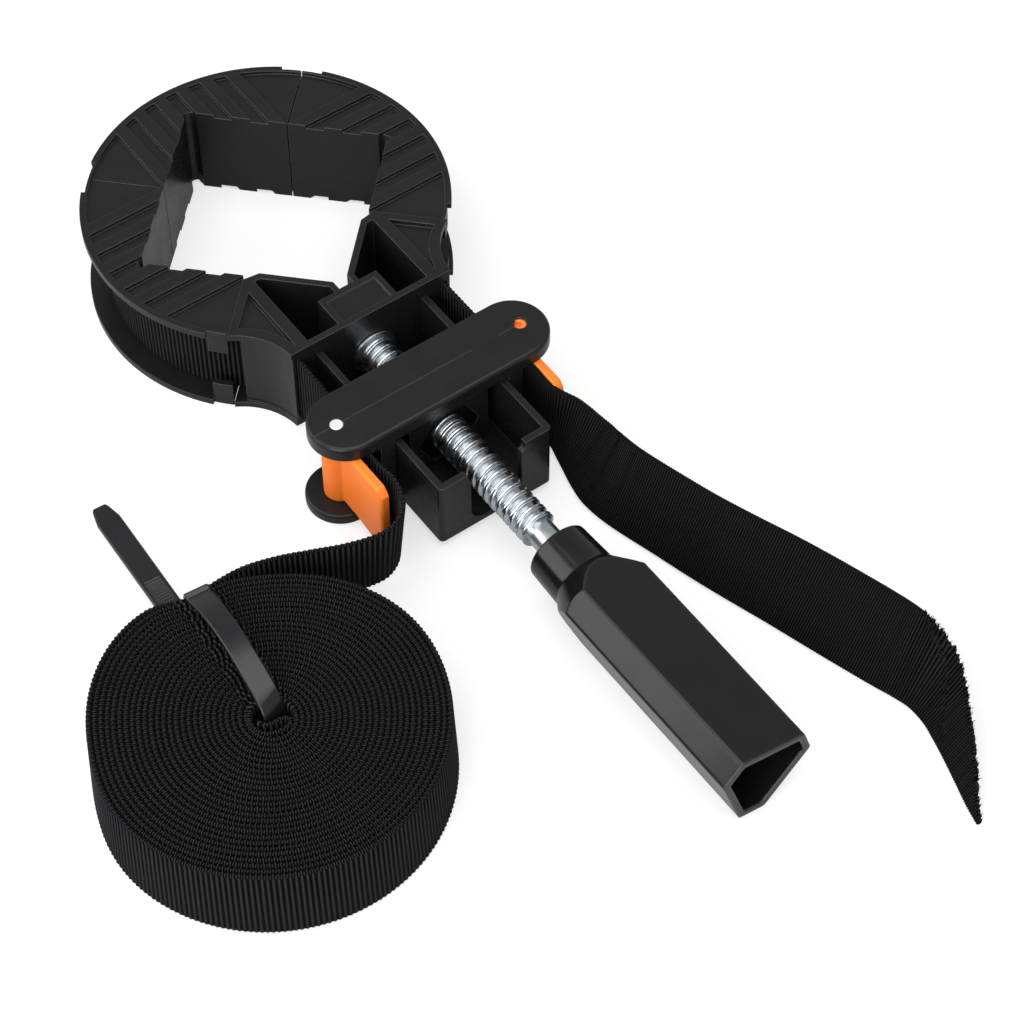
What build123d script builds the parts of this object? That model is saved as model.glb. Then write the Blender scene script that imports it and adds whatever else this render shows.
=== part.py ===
from build123d import *
import os
from math import atan2, cos, degrees, hypot, radians, sin, sqrt, tan

# Strap clamp: webbing runs round three corner jaws and a head, which enclose a square opening.
# Millimetres. The origin is the centre of that opening on the ground, +Z is up, and the
# handle points along -Y. Jaw faces stand at 45 degrees to the axes.

# Webbing
web_width = 25.0
web_thick = 1.6
web_edge_gap = 0.1
web_face_gap = 0.3

# Corner jaws
ring_radius = 52.6
corner_wall = 2.94
flange_thick = 2.0
channel_depth = 7.8
channel_slack = 1.4
seam_gap = 0.3
strips_per_jaw = 6
pocket_depth = 1.2
rim_width = 1.9
relief_radius = 2.0
relief_inset = 1.3
rim_step = 1.1
tab_arc_deg = 6.6
tab_thick = 1.8
tab_height = 6.3

# Head
head_face_proud = 1.4
head_face_setback = 4.9
head_notch_half = 2.3
head_notch_depth = 3.1
head_rim_step = 0.6
head_back_beyond = 0.4
head_back_margin = 2.5
head_bow = 1.7
head_lip_front = 1.0
head_lip_back = 0.3
head_wall_setback = 3.5
head_floor = 2.0
head_shell = 1.9
core_front_half = 4.0
core_back_half = 9.7
core_length = 12.0
core_mark_depth = 0.4
core_mark_margin = 1.8
rib_inner_inset = 4.2
rib_outer_inset = 0.6
small_pocket_depth = 1.6
small_pocket_setback = 3.7
small_pocket_inset = 4.1
small_pocket_bow = 1.4
slot_clearance = 0.35
head_track_inset = 0.3
strap_bend_share = 0.82

# Guide frame behind the head
frame_half_width = 18.4
frame_wall = 2.0
frame_bottom = 2.6
frame_floor = 1.8
frame_length = 58.6
frame_corner_radius = 1.4
notch_half = 8.4
notch_mouth_half = 9.6
notch_mouth_drop = 3.2
notch_corner_radius = 5.0

# Screw and thrust seat
screw_lift = -0.5
screw_radius = 5.4
screw_length = 78.0
nose_radius = 3.5
nose_length = 6.0
nose_fit = 0.06
neck_radius = 4.1
neck_in_handle = 16.0
washer_radius = 7.0
washer_thick = 1.0

# Handle
handle_setback = 8.4
handle_length = 86.6
collar_front_radius = 9.1
collar_back_radius = 9.6
collar_length = 12.2
shoulder_length = 9.0
grip_face = 10.8
grip_corner = 14.3
grip_turn_deg = -12.0
grip_edge_radius = 1.2
grip_wall = 2.0
grip_bore_depth = 58.0

# Carriage
carriage_setback = 27.6
plate_half_width = 10.6
plate_beyond_cam = 7.8
plate_thick = 4.6
plate_edge_radius = 1.2
rail_fit = 1.2
foot_bottom = 0.3
foot_top = 3.2
foot_radius = 9.9
foot_edge_radius = 0.9
side_fit = 0.3
side_web_thick = 4.6
strap_web_gap = 0.2
strap_low = 1.5
block_side_gap = 3.4
block_length = 18.0
block_fit = 0.5
nut_across_flats = 17.0
nut_length = 16.0
nut_pocket_fit = 0.05
nut_thread_fit = 0.06

# Cam levers
cam_radius = 4.7
cam_strap_gap = 0.4
cam_end_gap = 0.3
blade_thick = 2.7
blade_inner_offset = 2.8
left_blade_shift = 2.1
left_blade_length = 23.3
right_blade_length = 21.0
blade_top_corner = (2.0, 2.4)
blade_low_corner = 1.2
blade_foot_gap = 0.4
blade_drop = 2.2
blade_edge = 0.6
pin_radius = 1.9
pin_plate_fit = 0.03
pin_lever_fit = 0.08
pin_foot = 1.0
stub_recess_radius = 1.25
stub_recess_depth = 1.6
stub_recess_offset = 0.45
stub_drop = 0.5

# Loose webbing. Places are measured from where the webbing leaves a lever's blade, at the
# carriage's middle line: on the left for the lead and the coil, on the right for the tail.
blade_gap = 0.1
grip_length = 11.9
grip_straight = 2.5
grip_bend_radius = 4.0
coil_place = (-67.4, -64.6)
coil_radius = 46.2
tie_dent = 3.2
coil_hub_radius = 5.2
lead_corners = [(-0.7, -23.0), (-9.5, -33.0), (-27.5, -27.4), (-42.5, -22.3)]
lead_radii = [9.0, 7.0, 24.0, 36.0]
lead_end_gap = 1.6
tail_stations = [
    (0.0, -21.4, 0.0, 1.0),
    (-1.2, -25.0, 11.5, 1.0),
    (-2.2, -28.8, 17.5, 1.0),
    (-4.0, -35.6, 26.0, 1.0),
    (-4.8, -42.4, 29.5, 1.0),
    (0.5, -67.2, 30.5, 1.0),
    (6.9, -90.2, 37.0, 1.0),
    (15.0, -116.9, 45.0, 1.0),
    (22.3, -139.7, 40.0, 0.97),
    (23.5, -150.4, 36.0, 0.72),
    (20.5, -162.1, 32.0, 0.5),
    (16.0, -176.1, 28.0, 0.21),
    (14.5, -181.4, 26.0, 0.1),
]
tail_lift = 0.4

# Cable tie round the coil
tie_width = 7.4
tie_thick = 1.4
tie_gap = 0.3
tie_angle_deg = 84.8
tie_lock = (6.0, 10.0, 8.0)
tie_tail_z = 5.0
tie_tail_reach = 97.6
tie_tail_turn_deg = 3.0
tie_point_length = 4.5

# Heights that follow from those above
web_bottom = flange_thick + web_edge_gap
web_top = web_bottom + web_width
channel_height = web_width + channel_slack
jaw_height = channel_height + 2 * flange_thick
screw_z = jaw_height / 2 + screw_lift
plate_bottom = strap_low + web_width + web_edge_gap
plate_top = plate_bottom + plate_thick
frame_top = plate_bottom - rail_fit
foot_trough = strap_low - web_edge_gap
pin_bottom = foot_bottom + pin_foot

# Places along the clamp that follow from those above
head_back_y = -ring_radius - head_back_beyond
core_step_y = head_back_y + core_length
frame_rear_y = head_back_y - frame_length
carriage_y = head_back_y - carriage_setback
grip_end_y = carriage_y - grip_length
screw_end_y = head_back_y - screw_length
handle_front_y = screw_end_y - handle_setback
handle_end_y = handle_front_y - handle_length

# Places from the middle plane or the ring's middle that follow from those above
core_radius = ring_radius - channel_depth
web_center_radius = core_radius + web_face_gap + web_thick / 2
opening_corner = core_radius - corner_wall
opening_half_side = opening_corner / sqrt(2)
strip_width = sqrt(2) * opening_half_side / (2 * strips_per_jaw - 1)
slot_width = web_thick + 2 * slot_clearance
side_web_outer = frame_half_width + side_fit + side_web_thick
carriage_track_x = side_web_outer + strap_web_gap + web_thick / 2
cam_x = carriage_track_x + web_thick / 2 + cam_strap_gap + cam_radius
plate_end_x = cam_x + plate_beyond_cam
blade_track = cam_x - blade_inner_offset - blade_gap - web_thick / 2
head_track_x = carriage_track_x - head_track_inset
head_seam_outer = (ring_radius - head_rim_step) / sqrt(2)
head_face_reach = sqrt(2) * (opening_half_side - head_face_proud)
rib_inner = head_track_x - rib_inner_inset
rib_outer = head_track_x - rib_outer_inset
block_half_width = frame_half_width - frame_wall - block_side_gap
coil_center = (coil_place[0] - blade_track, coil_place[1] + carriage_y)
coil_flat = coil_radius - tie_dent


def slab(sketch, low, high):
    """Extrude a sketch of the ground plane between two heights."""
    return extrude(Pos(0, 0, low) * sketch, amount=high - low)


def bar(x0, x1, y0, y1, z0, z1):
    """A block between two corners."""
    middle = Pos((x0 + x1) / 2, (y0 + y1) / 2, (z0 + z1) / 2)
    return middle * Box(x1 - x0, y1 - y0, z1 - z0)


def rod(radius, y_front, y_back, x=0.0, z=screw_z):
    """A round bar along Y, from its front end to its back end."""
    middle = Pos(x, (y_front + y_back) / 2, z)
    return middle * Rot(90, 0, 0) * Cylinder(radius, y_front - y_back)


def post(radius, x, y, low, high):
    """An upright round bar."""
    return Pos(x, y, (low + high) / 2) * Cylinder(radius, high - low)


def ribbon(path, thick, low, high):
    """Webbing on edge: a path on the ground plane, thickened and raised."""
    return slab(trace(path, thick), low, high)


def both_sides(shape):
    """A shape and its mirror image across the clamp's middle plane."""
    return shape + mirror(shape, about=Plane.YZ)


def quadrant(radius, half_side=opening_half_side):
    """A quarter of the ring about +X, outside the square opening."""
    apex = seam_gap / 2 * sqrt(2)
    reach = 2 * ring_radius
    wedge = make_face(Polyline((apex, 0), (reach, reach - apex), (reach, apex - reach), close=True))
    opening = Rot(0, 0, 45) * Rectangle(2 * half_side, 2 * half_side)
    return Circle(radius) & wedge - opening


def jaw_pockets():
    """The sunk areas of a jaw's face: between the strips, and outside the last ones."""
    reach = 2 * ring_radius
    strips = Sketch()
    for index in range(strips_per_jaw):
        offset = (2 * index - strips_per_jaw + 1) * strip_width
        strips += Pos(reach / 2, offset) * Rectangle(reach, strip_width)
    return quadrant(ring_radius - rim_width) - strips


def jaw_tab(low):
    """A tab beside each seam that keeps the webbing in its channel."""
    outer = ring_radius - rim_step
    ring = Circle(outer) - Circle(outer - tab_thick)
    return slab(quadrant(outer) & ring & seam_sectors(), low, low + tab_height)


def seam_sectors():
    """The two short sectors of a jaw that lie beside its seams."""
    reach = 2 * ring_radius
    middle = radians(45 - tab_arc_deg)
    aside = reach * tan(middle)
    inner = make_face(Polyline((0, 0), (reach, aside), (reach, -aside), close=True))
    return quadrant(reach) - inner


def jaw():
    """One corner jaw, with its inner corner on +X."""
    body = slab(quadrant(ring_radius), 0, flange_thick)
    body += slab(quadrant(core_radius), flange_thick, jaw_height - flange_thick)
    body += slab(quadrant(ring_radius), jaw_height - flange_thick, jaw_height)
    body -= slab(jaw_pockets(), jaw_height - pocket_depth, jaw_height)
    body -= slab(jaw_pockets(), 0, pocket_depth)
    rim = (Circle(2 * ring_radius) - Circle(ring_radius - rim_step)) & seam_sectors()
    body -= slab(rim, 0, jaw_height)
    body += jaw_tab(flange_thick)
    body += jaw_tab(jaw_height - flange_thick - tab_height)
    body -= post(relief_radius, opening_corner - relief_inset, 0, 0, jaw_height)
    return body


def jaw_band():
    """The webbing that lies in one jaw's channel."""
    half = web_thick / 2
    ring = Circle(web_center_radius + half) - Circle(web_center_radius - half)
    return slab(quadrant(2 * ring_radius) & ring, web_bottom, web_bottom + web_width)


def bowed(start, end, bow):
    """An arc between two points of the head's side, bowed towards the jaw opening."""
    middle = ((start[0] + end[0]) / 2 - bow, (start[1] + end[1]) / 2 + bow)
    return ThreePointArc(start, middle, end)


def head_outline(lip_front=0.0, lip_back=0.0):
    """One half of the head, on +X, seen from above. The lips draw its bowed side inwards."""
    gap = seam_gap / 2 * sqrt(2)
    seam_inner = (opening_half_side + head_face_proud) / sqrt(2)
    seam_outer = head_seam_outer - lip_front / sqrt(2)
    face_end = seam_inner - head_face_setback
    notch_y = head_notch_half - head_face_reach
    start = (seam_outer, -seam_outer - gap)
    end = (head_track_x + head_back_margin - lip_back, head_back_y)
    edge = Polyline(
        end,
        (0, head_back_y),
        (0, notch_y - head_notch_depth),
        (head_notch_half, notch_y - head_notch_depth),
        (head_notch_half, notch_y),
        (face_end, face_end - head_face_reach),
        (seam_inner, -seam_inner - gap),
        start,
    )
    return make_face(bowed(start, end, head_bow) + edge)


def head_track(extra=0.0):
    """The line that the webbing follows from the right-hand seam through the head."""
    shift = seam_gap / 2 / sqrt(2)
    seam = web_center_radius / sqrt(2)
    corner_y = head_track_x - 2 * seam
    shorter = min(sqrt(2) * (seam - head_track_x), corner_y - head_back_y)
    return FilletPolyline(
        (seam - shift + extra, -seam - shift + extra),
        (head_track_x, corner_y),
        (head_track_x, head_back_y - extra),
        radius=strap_bend_share * shorter / tan(radians(22.5)),
    )


def head_pocket():
    """The deep core-out in the head's right leg."""
    reach = head_face_reach + head_shell * sqrt(2)
    front = reach - rib_inner + head_shell
    return make_face(
        Polyline(
            (rib_inner, -front),
            (reach - front, -front),
            (core_front_half, core_front_half - reach),
            (core_front_half, core_step_y),
            (core_back_half, core_step_y),
            (core_back_half, head_back_y + head_shell),
            (rib_inner, head_back_y + head_shell),
            close=True,
        )
    )


def head_small_pocket():
    """The shallow three-sided pocket outside the head's rib."""
    tip = (rib_outer, head_back_y + head_shell)
    corner_x = head_seam_outer - small_pocket_inset
    corner = (corner_x, -corner_x - small_pocket_setback)
    edge = Polyline(tip, (rib_outer, -rib_outer - small_pocket_setback), corner)
    return make_face(bowed(corner, tip, small_pocket_bow) + edge)


def head_corner():
    """The head: fourth corner of the opening, with a slot for the webbing in each leg."""
    roof = flange_thick + channel_height
    half = slab(head_outline(), 0, flange_thick)
    half += slab(head_outline(head_lip_front, head_lip_back), flange_thick, roof)
    half += slab(head_outline(), roof, jaw_height)
    half -= slab(head_pocket(), head_floor, jaw_height)
    half -= slab(head_small_pocket(), jaw_height - small_pocket_depth, jaw_height)
    front = Rot(0, 0, -45) * Rectangle(4 * ring_radius, 2 * head_wall_setback) - Circle(core_radius)
    half -= slab(front, flange_thick, roof)
    half -= ribbon(head_track(1.0), slot_width, web_bottom - web_edge_gap, web_top + web_edge_gap)
    body = both_sides(half)
    mark_half = core_back_half - core_mark_margin
    mark_front = core_step_y - core_mark_margin
    mark_back = head_back_y + head_shell
    mark_low = jaw_height - core_mark_depth
    body -= bar(-mark_half, mark_half, mark_back, mark_front, mark_low, jaw_height)
    return body - rod(nose_radius + nose_fit, head_back_y + nose_length + nose_fit, head_back_y)


def guide_frame():
    """The channel behind the head that the carriage runs on, with its notched rear wall."""
    outer_width = 2 * frame_half_width
    length = head_back_y - frame_rear_y
    middle_y = (head_back_y + frame_rear_y) / 2
    height = frame_top - frame_bottom
    shell = Pos(0, middle_y, frame_bottom + height / 2) * Box(outer_width, length, height)
    rear_corners = shell.edges().filter_by(Axis.Z).group_by(Axis.Y)[0]
    shell = fillet(rear_corners, frame_corner_radius)
    inner = frame_half_width - frame_wall
    floor_top = frame_bottom + frame_floor
    shell -= bar(-inner, inner, frame_rear_y + frame_wall, head_back_y, floor_top, frame_top)
    return shell - rear_notch(floor_top)


def rear_notch(bottom):
    """The stepped U through the rear wall that clears the screw."""
    middle_y = frame_rear_y + frame_wall / 2
    height = frame_top - bottom
    slot = Pos(0, middle_y, bottom + height / 2) * Box(2 * notch_half, 2 * frame_wall, height)
    lower = slot.edges().filter_by(Axis.Y).group_by(Axis.Z)[0]
    slot = fillet(lower, notch_corner_radius)
    mouth_low = frame_top - notch_mouth_drop
    y0 = middle_y - frame_wall
    y1 = middle_y + frame_wall
    mouth = bar(-notch_mouth_half, notch_mouth_half, y0, y1, mouth_low, frame_top)
    steps = mouth.edges().filter_by(Axis.Y).group_by(Axis.Z)[0]
    return slot + fillet(steps, notch_mouth_half - notch_half)


def screw():
    """The screw as a bar of its outside diameter, with a nose in front and a neck behind."""
    thread_front = head_back_y - washer_thick
    body = rod(screw_radius, thread_front, screw_end_y)
    body += rod(nose_radius, head_back_y + nose_length, thread_front)
    body += rod(neck_radius, screw_end_y, handle_front_y - neck_in_handle)
    return body


def thrust_washer():
    """The steel washer that the screw pushes against."""
    disc = rod(washer_radius, head_back_y, head_back_y - washer_thick)
    return disc - rod(nose_radius + nose_fit, head_back_y, head_back_y - washer_thick)


def grip_half_width(face, corner):
    """Half the width of the grip's wide flats, between its cut corners."""
    return (corner - face * cos(radians(60))) / sin(radians(60))


def grip_section(inset=0.0):
    """The grip's three-sided section with wide flats and cut corners, on the ground plane."""
    face = grip_face - inset
    half = grip_half_width(face, grip_corner - inset)
    points = []
    for side in range(3):
        normal = radians(90 + grip_turn_deg + 120 * side)
        for across in (half, -half):
            x = face * cos(normal) + across * sin(normal)
            y = face * sin(normal) - across * cos(normal)
            points.append((x, y))
    outline = make_face(Polyline(*points, close=True))
    return fillet(outline.vertices(), grip_edge_radius)


def handle():
    """The hollow grip, its shoulder and the round collar on the screw's neck."""
    section_plane = Plane((0, 0, screw_z), x_dir=(1, 0, 0), z_dir=(0, -1, 0))
    collar_back_y = handle_front_y - collar_length
    largest = hypot(grip_face, grip_half_width(grip_face, grip_corner))
    prism = extrude(section_plane * grip_section(), -handle_end_y)
    profile = make_face(
        Polyline(
            (0, -handle_front_y),
            (collar_front_radius, -handle_front_y),
            (collar_back_radius, -collar_back_y),
            (largest, shoulder_length - collar_back_y),
            (largest, -handle_end_y),
            (0, -handle_end_y),
            close=True,
        )
    )
    envelope = section_plane * revolve(Plane.XZ * profile, Axis.Z)
    collar = rod(collar_back_radius, 0, collar_back_y)
    body = envelope & (prism + collar)
    bore_plane = section_plane.offset(-handle_end_y - grip_bore_depth)
    body -= extrude(bore_plane * grip_section(grip_wall), grip_bore_depth)
    return body - rod(neck_radius, handle_front_y, handle_front_y - neck_in_handle)


def stadium(end_x, half_width):
    """A round-ended outline across the carriage."""
    return Pos(0, carriage_y) * SlotOverall(2 * end_x, 2 * half_width)


def carriage():
    """The moving block: top plate, nut block, side webs and the two feet of the cam levers."""
    front = carriage_y + plate_half_width
    back = carriage_y - plate_half_width
    top = slab(stadium(plate_end_x, plate_half_width), plate_bottom, plate_top)
    top = fillet(top.faces().sort_by(Axis.Z)[-1].edges(), plate_edge_radius)
    web_inner = frame_half_width + side_fit
    middle = Pos(0, carriage_y) * Rectangle(2 * web_inner, 4 * plate_half_width)
    feet = slab(stadium(cam_x + foot_radius, foot_radius) - middle, foot_bottom, foot_top)
    feet = fillet(feet.edges().filter_by(GeomType.CIRCLE).group_by(Axis.Z)[-1], foot_edge_radius)
    web = bar(web_inner, side_web_outer, back, front, foot_top, plate_bottom)
    block_front = carriage_y + block_length / 2
    block_low = frame_bottom + frame_floor + block_fit
    block = bar(
        -block_half_width,
        block_half_width,
        block_front - block_length,
        block_front,
        block_low,
        plate_bottom,
    )
    trough = ribbon(grip_track(1.0), web_thick + 2 * strap_web_gap, foot_trough, foot_top)
    body = top + feet + both_sides(web) + block - both_sides(trough)
    body -= nut_prism(nut_across_flats / 2 + nut_pocket_fit, block_length)
    for side in (-1, 1):
        body -= post(pin_radius + pin_plate_fit, side * cam_x, carriage_y, pin_bottom, plate_top)
    return body


def nut_prism(apothem, length):
    """A hexagonal bar about the screw's axis, centred in the carriage."""
    section = RegularPolygon(apothem, 6, major_radius=False)
    plane = Plane((0, carriage_y + length / 2, screw_z), x_dir=(1, 0, 0), z_dir=(0, -1, 0))
    return extrude(plane * section, length)


def threaded_nut():
    """The steel nut in the carriage, its bore plain at the screw's outside diameter."""
    half = nut_length / 2
    bore = rod(screw_radius + nut_thread_fit, carriage_y + half, carriage_y - half)
    return nut_prism(nut_across_flats / 2, nut_length) - bore


def cam_lever(blade_length, shift=0.0):
    """A lever of the right-hand side: an upright barrel and a flat blade that points to the handle.

    The blade clears the foot, then its lower edge drops towards the tip.
    """
    low = foot_top + cam_end_gap
    high = plate_bottom - cam_end_gap
    tip = carriage_y - blade_length
    tip_low = low - blade_drop
    outline = make_face(
        Polyline(
            (carriage_y, low),
            (carriage_y, high),
            (tip + blade_top_corner[0], high),
            (tip, high - blade_top_corner[1]),
            (tip, tip_low + blade_low_corner),
            (tip + blade_low_corner, tip_low),
            (carriage_y - foot_radius - blade_foot_gap, low),
            close=True,
        )
    )
    inner = cam_x - blade_inner_offset + shift
    blade = extrude(Pos(inner, 0, 0) * (Plane.YZ * outline), blade_thick)
    outside = blade.faces().sort_by(Axis.X)[-1].edges()
    blade = chamfer(outside.filter_by(lambda edge: edge.center().Y < carriage_y), blade_edge)
    return blade + post(cam_radius, cam_x, carriage_y, low, high)


def cam_lever_left():
    """The left-hand lever, bored for its steel pin."""
    lever = mirror(cam_lever(left_blade_length, left_blade_shift), about=Plane.YZ)
    return lever - post(pin_radius + pin_lever_fit, -cam_x, carriage_y, foot_top, plate_bottom)


def cam_lever_right():
    """The right-hand lever, which turns on stubs of its own."""
    high = plate_top - stub_drop
    stub = post(pin_radius, cam_x, carriage_y, pin_bottom + pin_lever_fit, high)
    lever = cam_lever(right_blade_length) + stub
    x = cam_x - stub_recess_offset
    y = carriage_y + stub_recess_offset
    return lever - post(stub_recess_radius, x, y, high - stub_recess_depth, high)


def cam_pin_left():
    """The steel pin of the left-hand lever."""
    return post(pin_radius, -cam_x, carriage_y, pin_bottom, plate_top)


def band_head():
    """The webbing inside the head's right leg."""
    return ribbon(head_track(), web_thick, web_bottom, web_top)


def band_run():
    """The webbing between the head and the carriage, on the right. It drops a little."""
    end = Plane.XZ * Rectangle(web_thick, web_width)
    back_y = carriage_y + plate_half_width
    front = Pos(head_track_x, head_back_y, web_bottom + web_width / 2) * end
    back = Pos(carriage_track_x, back_y, strap_low + web_width / 2) * end
    return loft([front, back], ruled=True)


def grip_track(extra=0.0):
    """The line of the webbing through the carriage, past the cam's barrel to its blade."""
    return FilletPolyline(
        (carriage_track_x, carriage_y + plate_half_width + extra),
        (carriage_track_x, carriage_y - cam_radius),
        (blade_track, grip_end_y + grip_straight),
        (blade_track, grip_end_y - extra),
        radius=grip_bend_radius,
    )


def band_grip():
    """The webbing that the right-hand cam holds against the carriage."""
    return ribbon(grip_track(), web_thick, strap_low, strap_low + web_width)


def webbing_lead():
    """The webbing that goes from the left-hand blade round its tip to the coil."""
    corners = [(x - blade_track, y + carriage_y) for x, y in lead_corners]
    along = coil_flat + web_face_gap + web_thick / 2
    across = -tie_width / 2 - lead_end_gap
    turn = radians(tie_angle_deg)
    end_x = coil_center[0] + along * cos(turn) - across * sin(turn)
    end_y = coil_center[1] + along * sin(turn) + across * cos(turn)
    path = FilletPolyline((-blade_track, grip_end_y), *corners, (end_x, end_y), radius=lead_radii)
    return ribbon(path, web_thick, web_face_gap, web_face_gap + web_width)


def webbing_coil():
    """The spare webbing, rolled up flat: one closed solid with the hole in its middle.

    The tie pulls a flat into its round side.
    """
    reach = coil_radius + 1
    half = tie_width / 2 + tie_gap
    roll = slab(Circle(coil_radius) - Circle(coil_hub_radius), 0, web_width)
    roll -= tie_turn() * bar(coil_flat, reach, -reach, reach, 0, web_width)
    groove = bar(coil_hub_radius / 2, reach, -half, half, 0, tie_thick + tie_gap)
    return Pos(*coil_center) * (roll - tie_turn() * groove)


def tie_turn():
    """The turn that lays X along the tie, out from the coil's middle."""
    return Rot(0, 0, tie_angle_deg)


def cable_tie():
    """The tie through the coil's middle, over it and under it, with its lock and pointed tail."""
    half = tie_width / 2
    inner = sqrt((coil_hub_radius - tie_gap) ** 2 - half**2)
    outer = coil_flat + tie_gap
    top = web_width + tie_gap
    loop = bar(inner - tie_thick, outer + tie_thick, -half, half, 0, top + tie_thick)
    loop -= bar(inner, outer, -half, half, tie_thick, top)
    lock_x = outer + tie_thick
    lock = Pos(lock_x + tie_lock[0] / 2, 0, tie_tail_z) * Box(*tie_lock)
    root = lock_x + tie_lock[0] / 2
    shoulder = tie_tail_reach - tie_point_length
    outline = make_face(
        Polyline(
            (0, -half),
            (shoulder - root, -half),
            (tie_tail_reach - root, -half / 2),
            (tie_tail_reach - root, half / 2),
            (shoulder - root, half),
            (0, half),
            close=True,
        )
    )
    tail = slab(outline, tie_tail_z - tie_thick / 2, tie_tail_z + tie_thick / 2)
    tail = Pos(root, 0, 0) * Rot(0, 0, tie_tail_turn_deg) * tail
    return Pos(*coil_center) * tie_turn() * (loop + lock + tail)


def tail_section(x, y, lean_deg, heading_deg, width):
    """The tail's section at a station: a thin upright rectangle that leans to its side."""
    lean = radians(lean_deg)
    turn = radians(heading_deg)
    sideways = Vector(cos(turn), sin(turn), 0)
    up = sideways * sin(lean) + Vector(0, 0, cos(lean))
    across = sideways * cos(lean) - Vector(0, 0, sin(lean))
    foot = Vector(x, y, tail_lift)
    half = across * (web_thick / 2)
    corners = (foot - half, foot + half, foot + half + up * width, foot - half + up * width)
    return make_face(Polyline(*corners, close=True))


def webbing_tail():
    """The free end of the webbing: it leans outwards and is cut to a long point."""
    points = [(0.0, -grip_length, 0.0, 1.0)] + tail_stations
    sections = []
    for index, (x, y, lean, share) in enumerate(points):
        before = points[max(index - 1, 0)]
        after = points[min(index + 1, len(points) - 1)]
        heading = degrees(atan2(after[1] - before[1], after[0] - before[0])) + 90
        place = (x + blade_track, y + carriage_y)
        sections.append(tail_section(*place, lean, heading, share * web_width))
    return loft(sections, ruled=True)


def nodes():
    """Every sub-part by the name of its node."""
    one_jaw = jaw()
    one_band = jaw_band()
    parts = {}
    for name, turn in (("right", 0), ("far", 90), ("left", 180)):
        parts["jaw_" + name] = Rot(0, 0, turn) * one_jaw
        parts["band_jaw_" + name] = Rot(0, 0, turn) * one_band
    parts["head_corner"] = head_corner()
    parts["guide_frame"] = guide_frame()
    parts["thrust_washer"] = thrust_washer()
    parts["screw"] = screw()
    parts["handle"] = handle()
    parts["carriage"] = carriage()
    parts["threaded_nut"] = threaded_nut()
    parts["cam_lever_left"] = cam_lever_left()
    parts["cam_lever_right"] = cam_lever_right()
    parts["cam_pin_left"] = cam_pin_left()
    for name, shape in (("head", band_head()), ("run", band_run()), ("grip", band_grip())):
        parts["band_" + name + "_right"] = shape
        parts["band_" + name + "_left"] = mirror(shape, about=Plane.YZ)
    parts["webbing_lead"] = webbing_lead()
    parts["webbing_coil"] = webbing_coil()
    parts["webbing_tail"] = webbing_tail()
    parts["cable_tie"] = cable_tie()
    return parts


def main():
    """Write one STEP file for each sub-part."""
    os.makedirs("parts", exist_ok=True)
    for name, shape in nodes().items():
        export_step(shape, "parts/" + name + ".step")


main()
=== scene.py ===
import logging
import math
import random
from collections.abc import Sequence
from dataclasses import dataclass
from enum import Enum

import bpy
from mathutils import Matrix, Vector


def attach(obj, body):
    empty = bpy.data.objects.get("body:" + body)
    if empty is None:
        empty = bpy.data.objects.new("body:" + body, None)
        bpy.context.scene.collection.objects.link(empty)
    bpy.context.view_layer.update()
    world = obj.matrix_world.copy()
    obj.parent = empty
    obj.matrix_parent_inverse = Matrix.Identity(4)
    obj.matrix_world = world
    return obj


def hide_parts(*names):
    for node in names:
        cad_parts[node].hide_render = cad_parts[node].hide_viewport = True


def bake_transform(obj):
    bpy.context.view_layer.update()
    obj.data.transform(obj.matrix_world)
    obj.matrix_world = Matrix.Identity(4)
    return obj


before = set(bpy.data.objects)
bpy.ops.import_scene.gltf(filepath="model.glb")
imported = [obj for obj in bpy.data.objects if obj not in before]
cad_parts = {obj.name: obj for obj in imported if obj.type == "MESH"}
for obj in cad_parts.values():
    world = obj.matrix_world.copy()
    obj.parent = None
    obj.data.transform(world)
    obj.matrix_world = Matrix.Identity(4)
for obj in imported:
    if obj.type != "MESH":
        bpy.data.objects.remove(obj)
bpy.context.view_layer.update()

MM = 0.001
WEBBING_WIDTH = 25.0
LOG = logging.getLogger("strap_clamp")

Point = tuple[float, float, float]
Route = Sequence[tuple[float, ...]]
Source = bpy.types.Node | bpy.types.NodeSocket


class Slot(Enum):
    """The record's material slots."""

    MOULDING = "jaw_plastic"
    LEVER = "lever_plastic"
    HANDLE = "handle_plastic"
    WEBBING = "webbing"
    TIE = "tie_nylon"
    ZINC = "zinc_steel"
    PIN = "pin_steel"


def linear(code: str) -> tuple[float, float, float, float]:
    """Turn an sRGB hex colour into Blender's linear values.

    Args:
        code: The colour as #RRGGBB.

    Returns:
        Red, green, blue and an alpha of one.
    """
    channels = [int(code[start:start + 2], 16) / 255 for start in (1, 3, 5)]
    red, green, blue = (c / 12.92 if c <= 0.04045 else ((c + 0.055) / 1.055) ** 2.4 for c in channels)
    return red, green, blue, 1.0


def set_up(node: bpy.types.Node, settings: dict, links: dict[str | int, Source]) -> None:
    """Give a node its settings and its incoming links.

    Args:
        node: The node.
        settings: Properties by name, and input values by socket name or number.
        links: For each input's name or number its source, where a node stands for its first output.
    """
    for key, value in settings.items():
        if isinstance(key, int) or key in node.inputs:
            node.inputs[key].default_value = value
        else:
            setattr(node, key, value)
    for key, source in links.items():
        output = source.outputs[0] if isinstance(source, bpy.types.Node) else source
        node.id_data.links.new(output, node.inputs[key])


def add_node(
    tree: bpy.types.NodeTree, kind: str, settings: dict | None = None, links: dict | None = None
) -> bpy.types.Node:
    """Add one node with its settings and its incoming links.

    Args:
        tree: The material's or world's node tree.
        kind: Blender's name for the node, after the ShaderNode that all of them start with.
        settings: As set_up takes them.
        links: As set_up takes them.

    Returns:
        The new node.
    """
    node = tree.nodes.new("ShaderNode" + kind)
    set_up(node, settings or {}, links or {})
    return node


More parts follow.
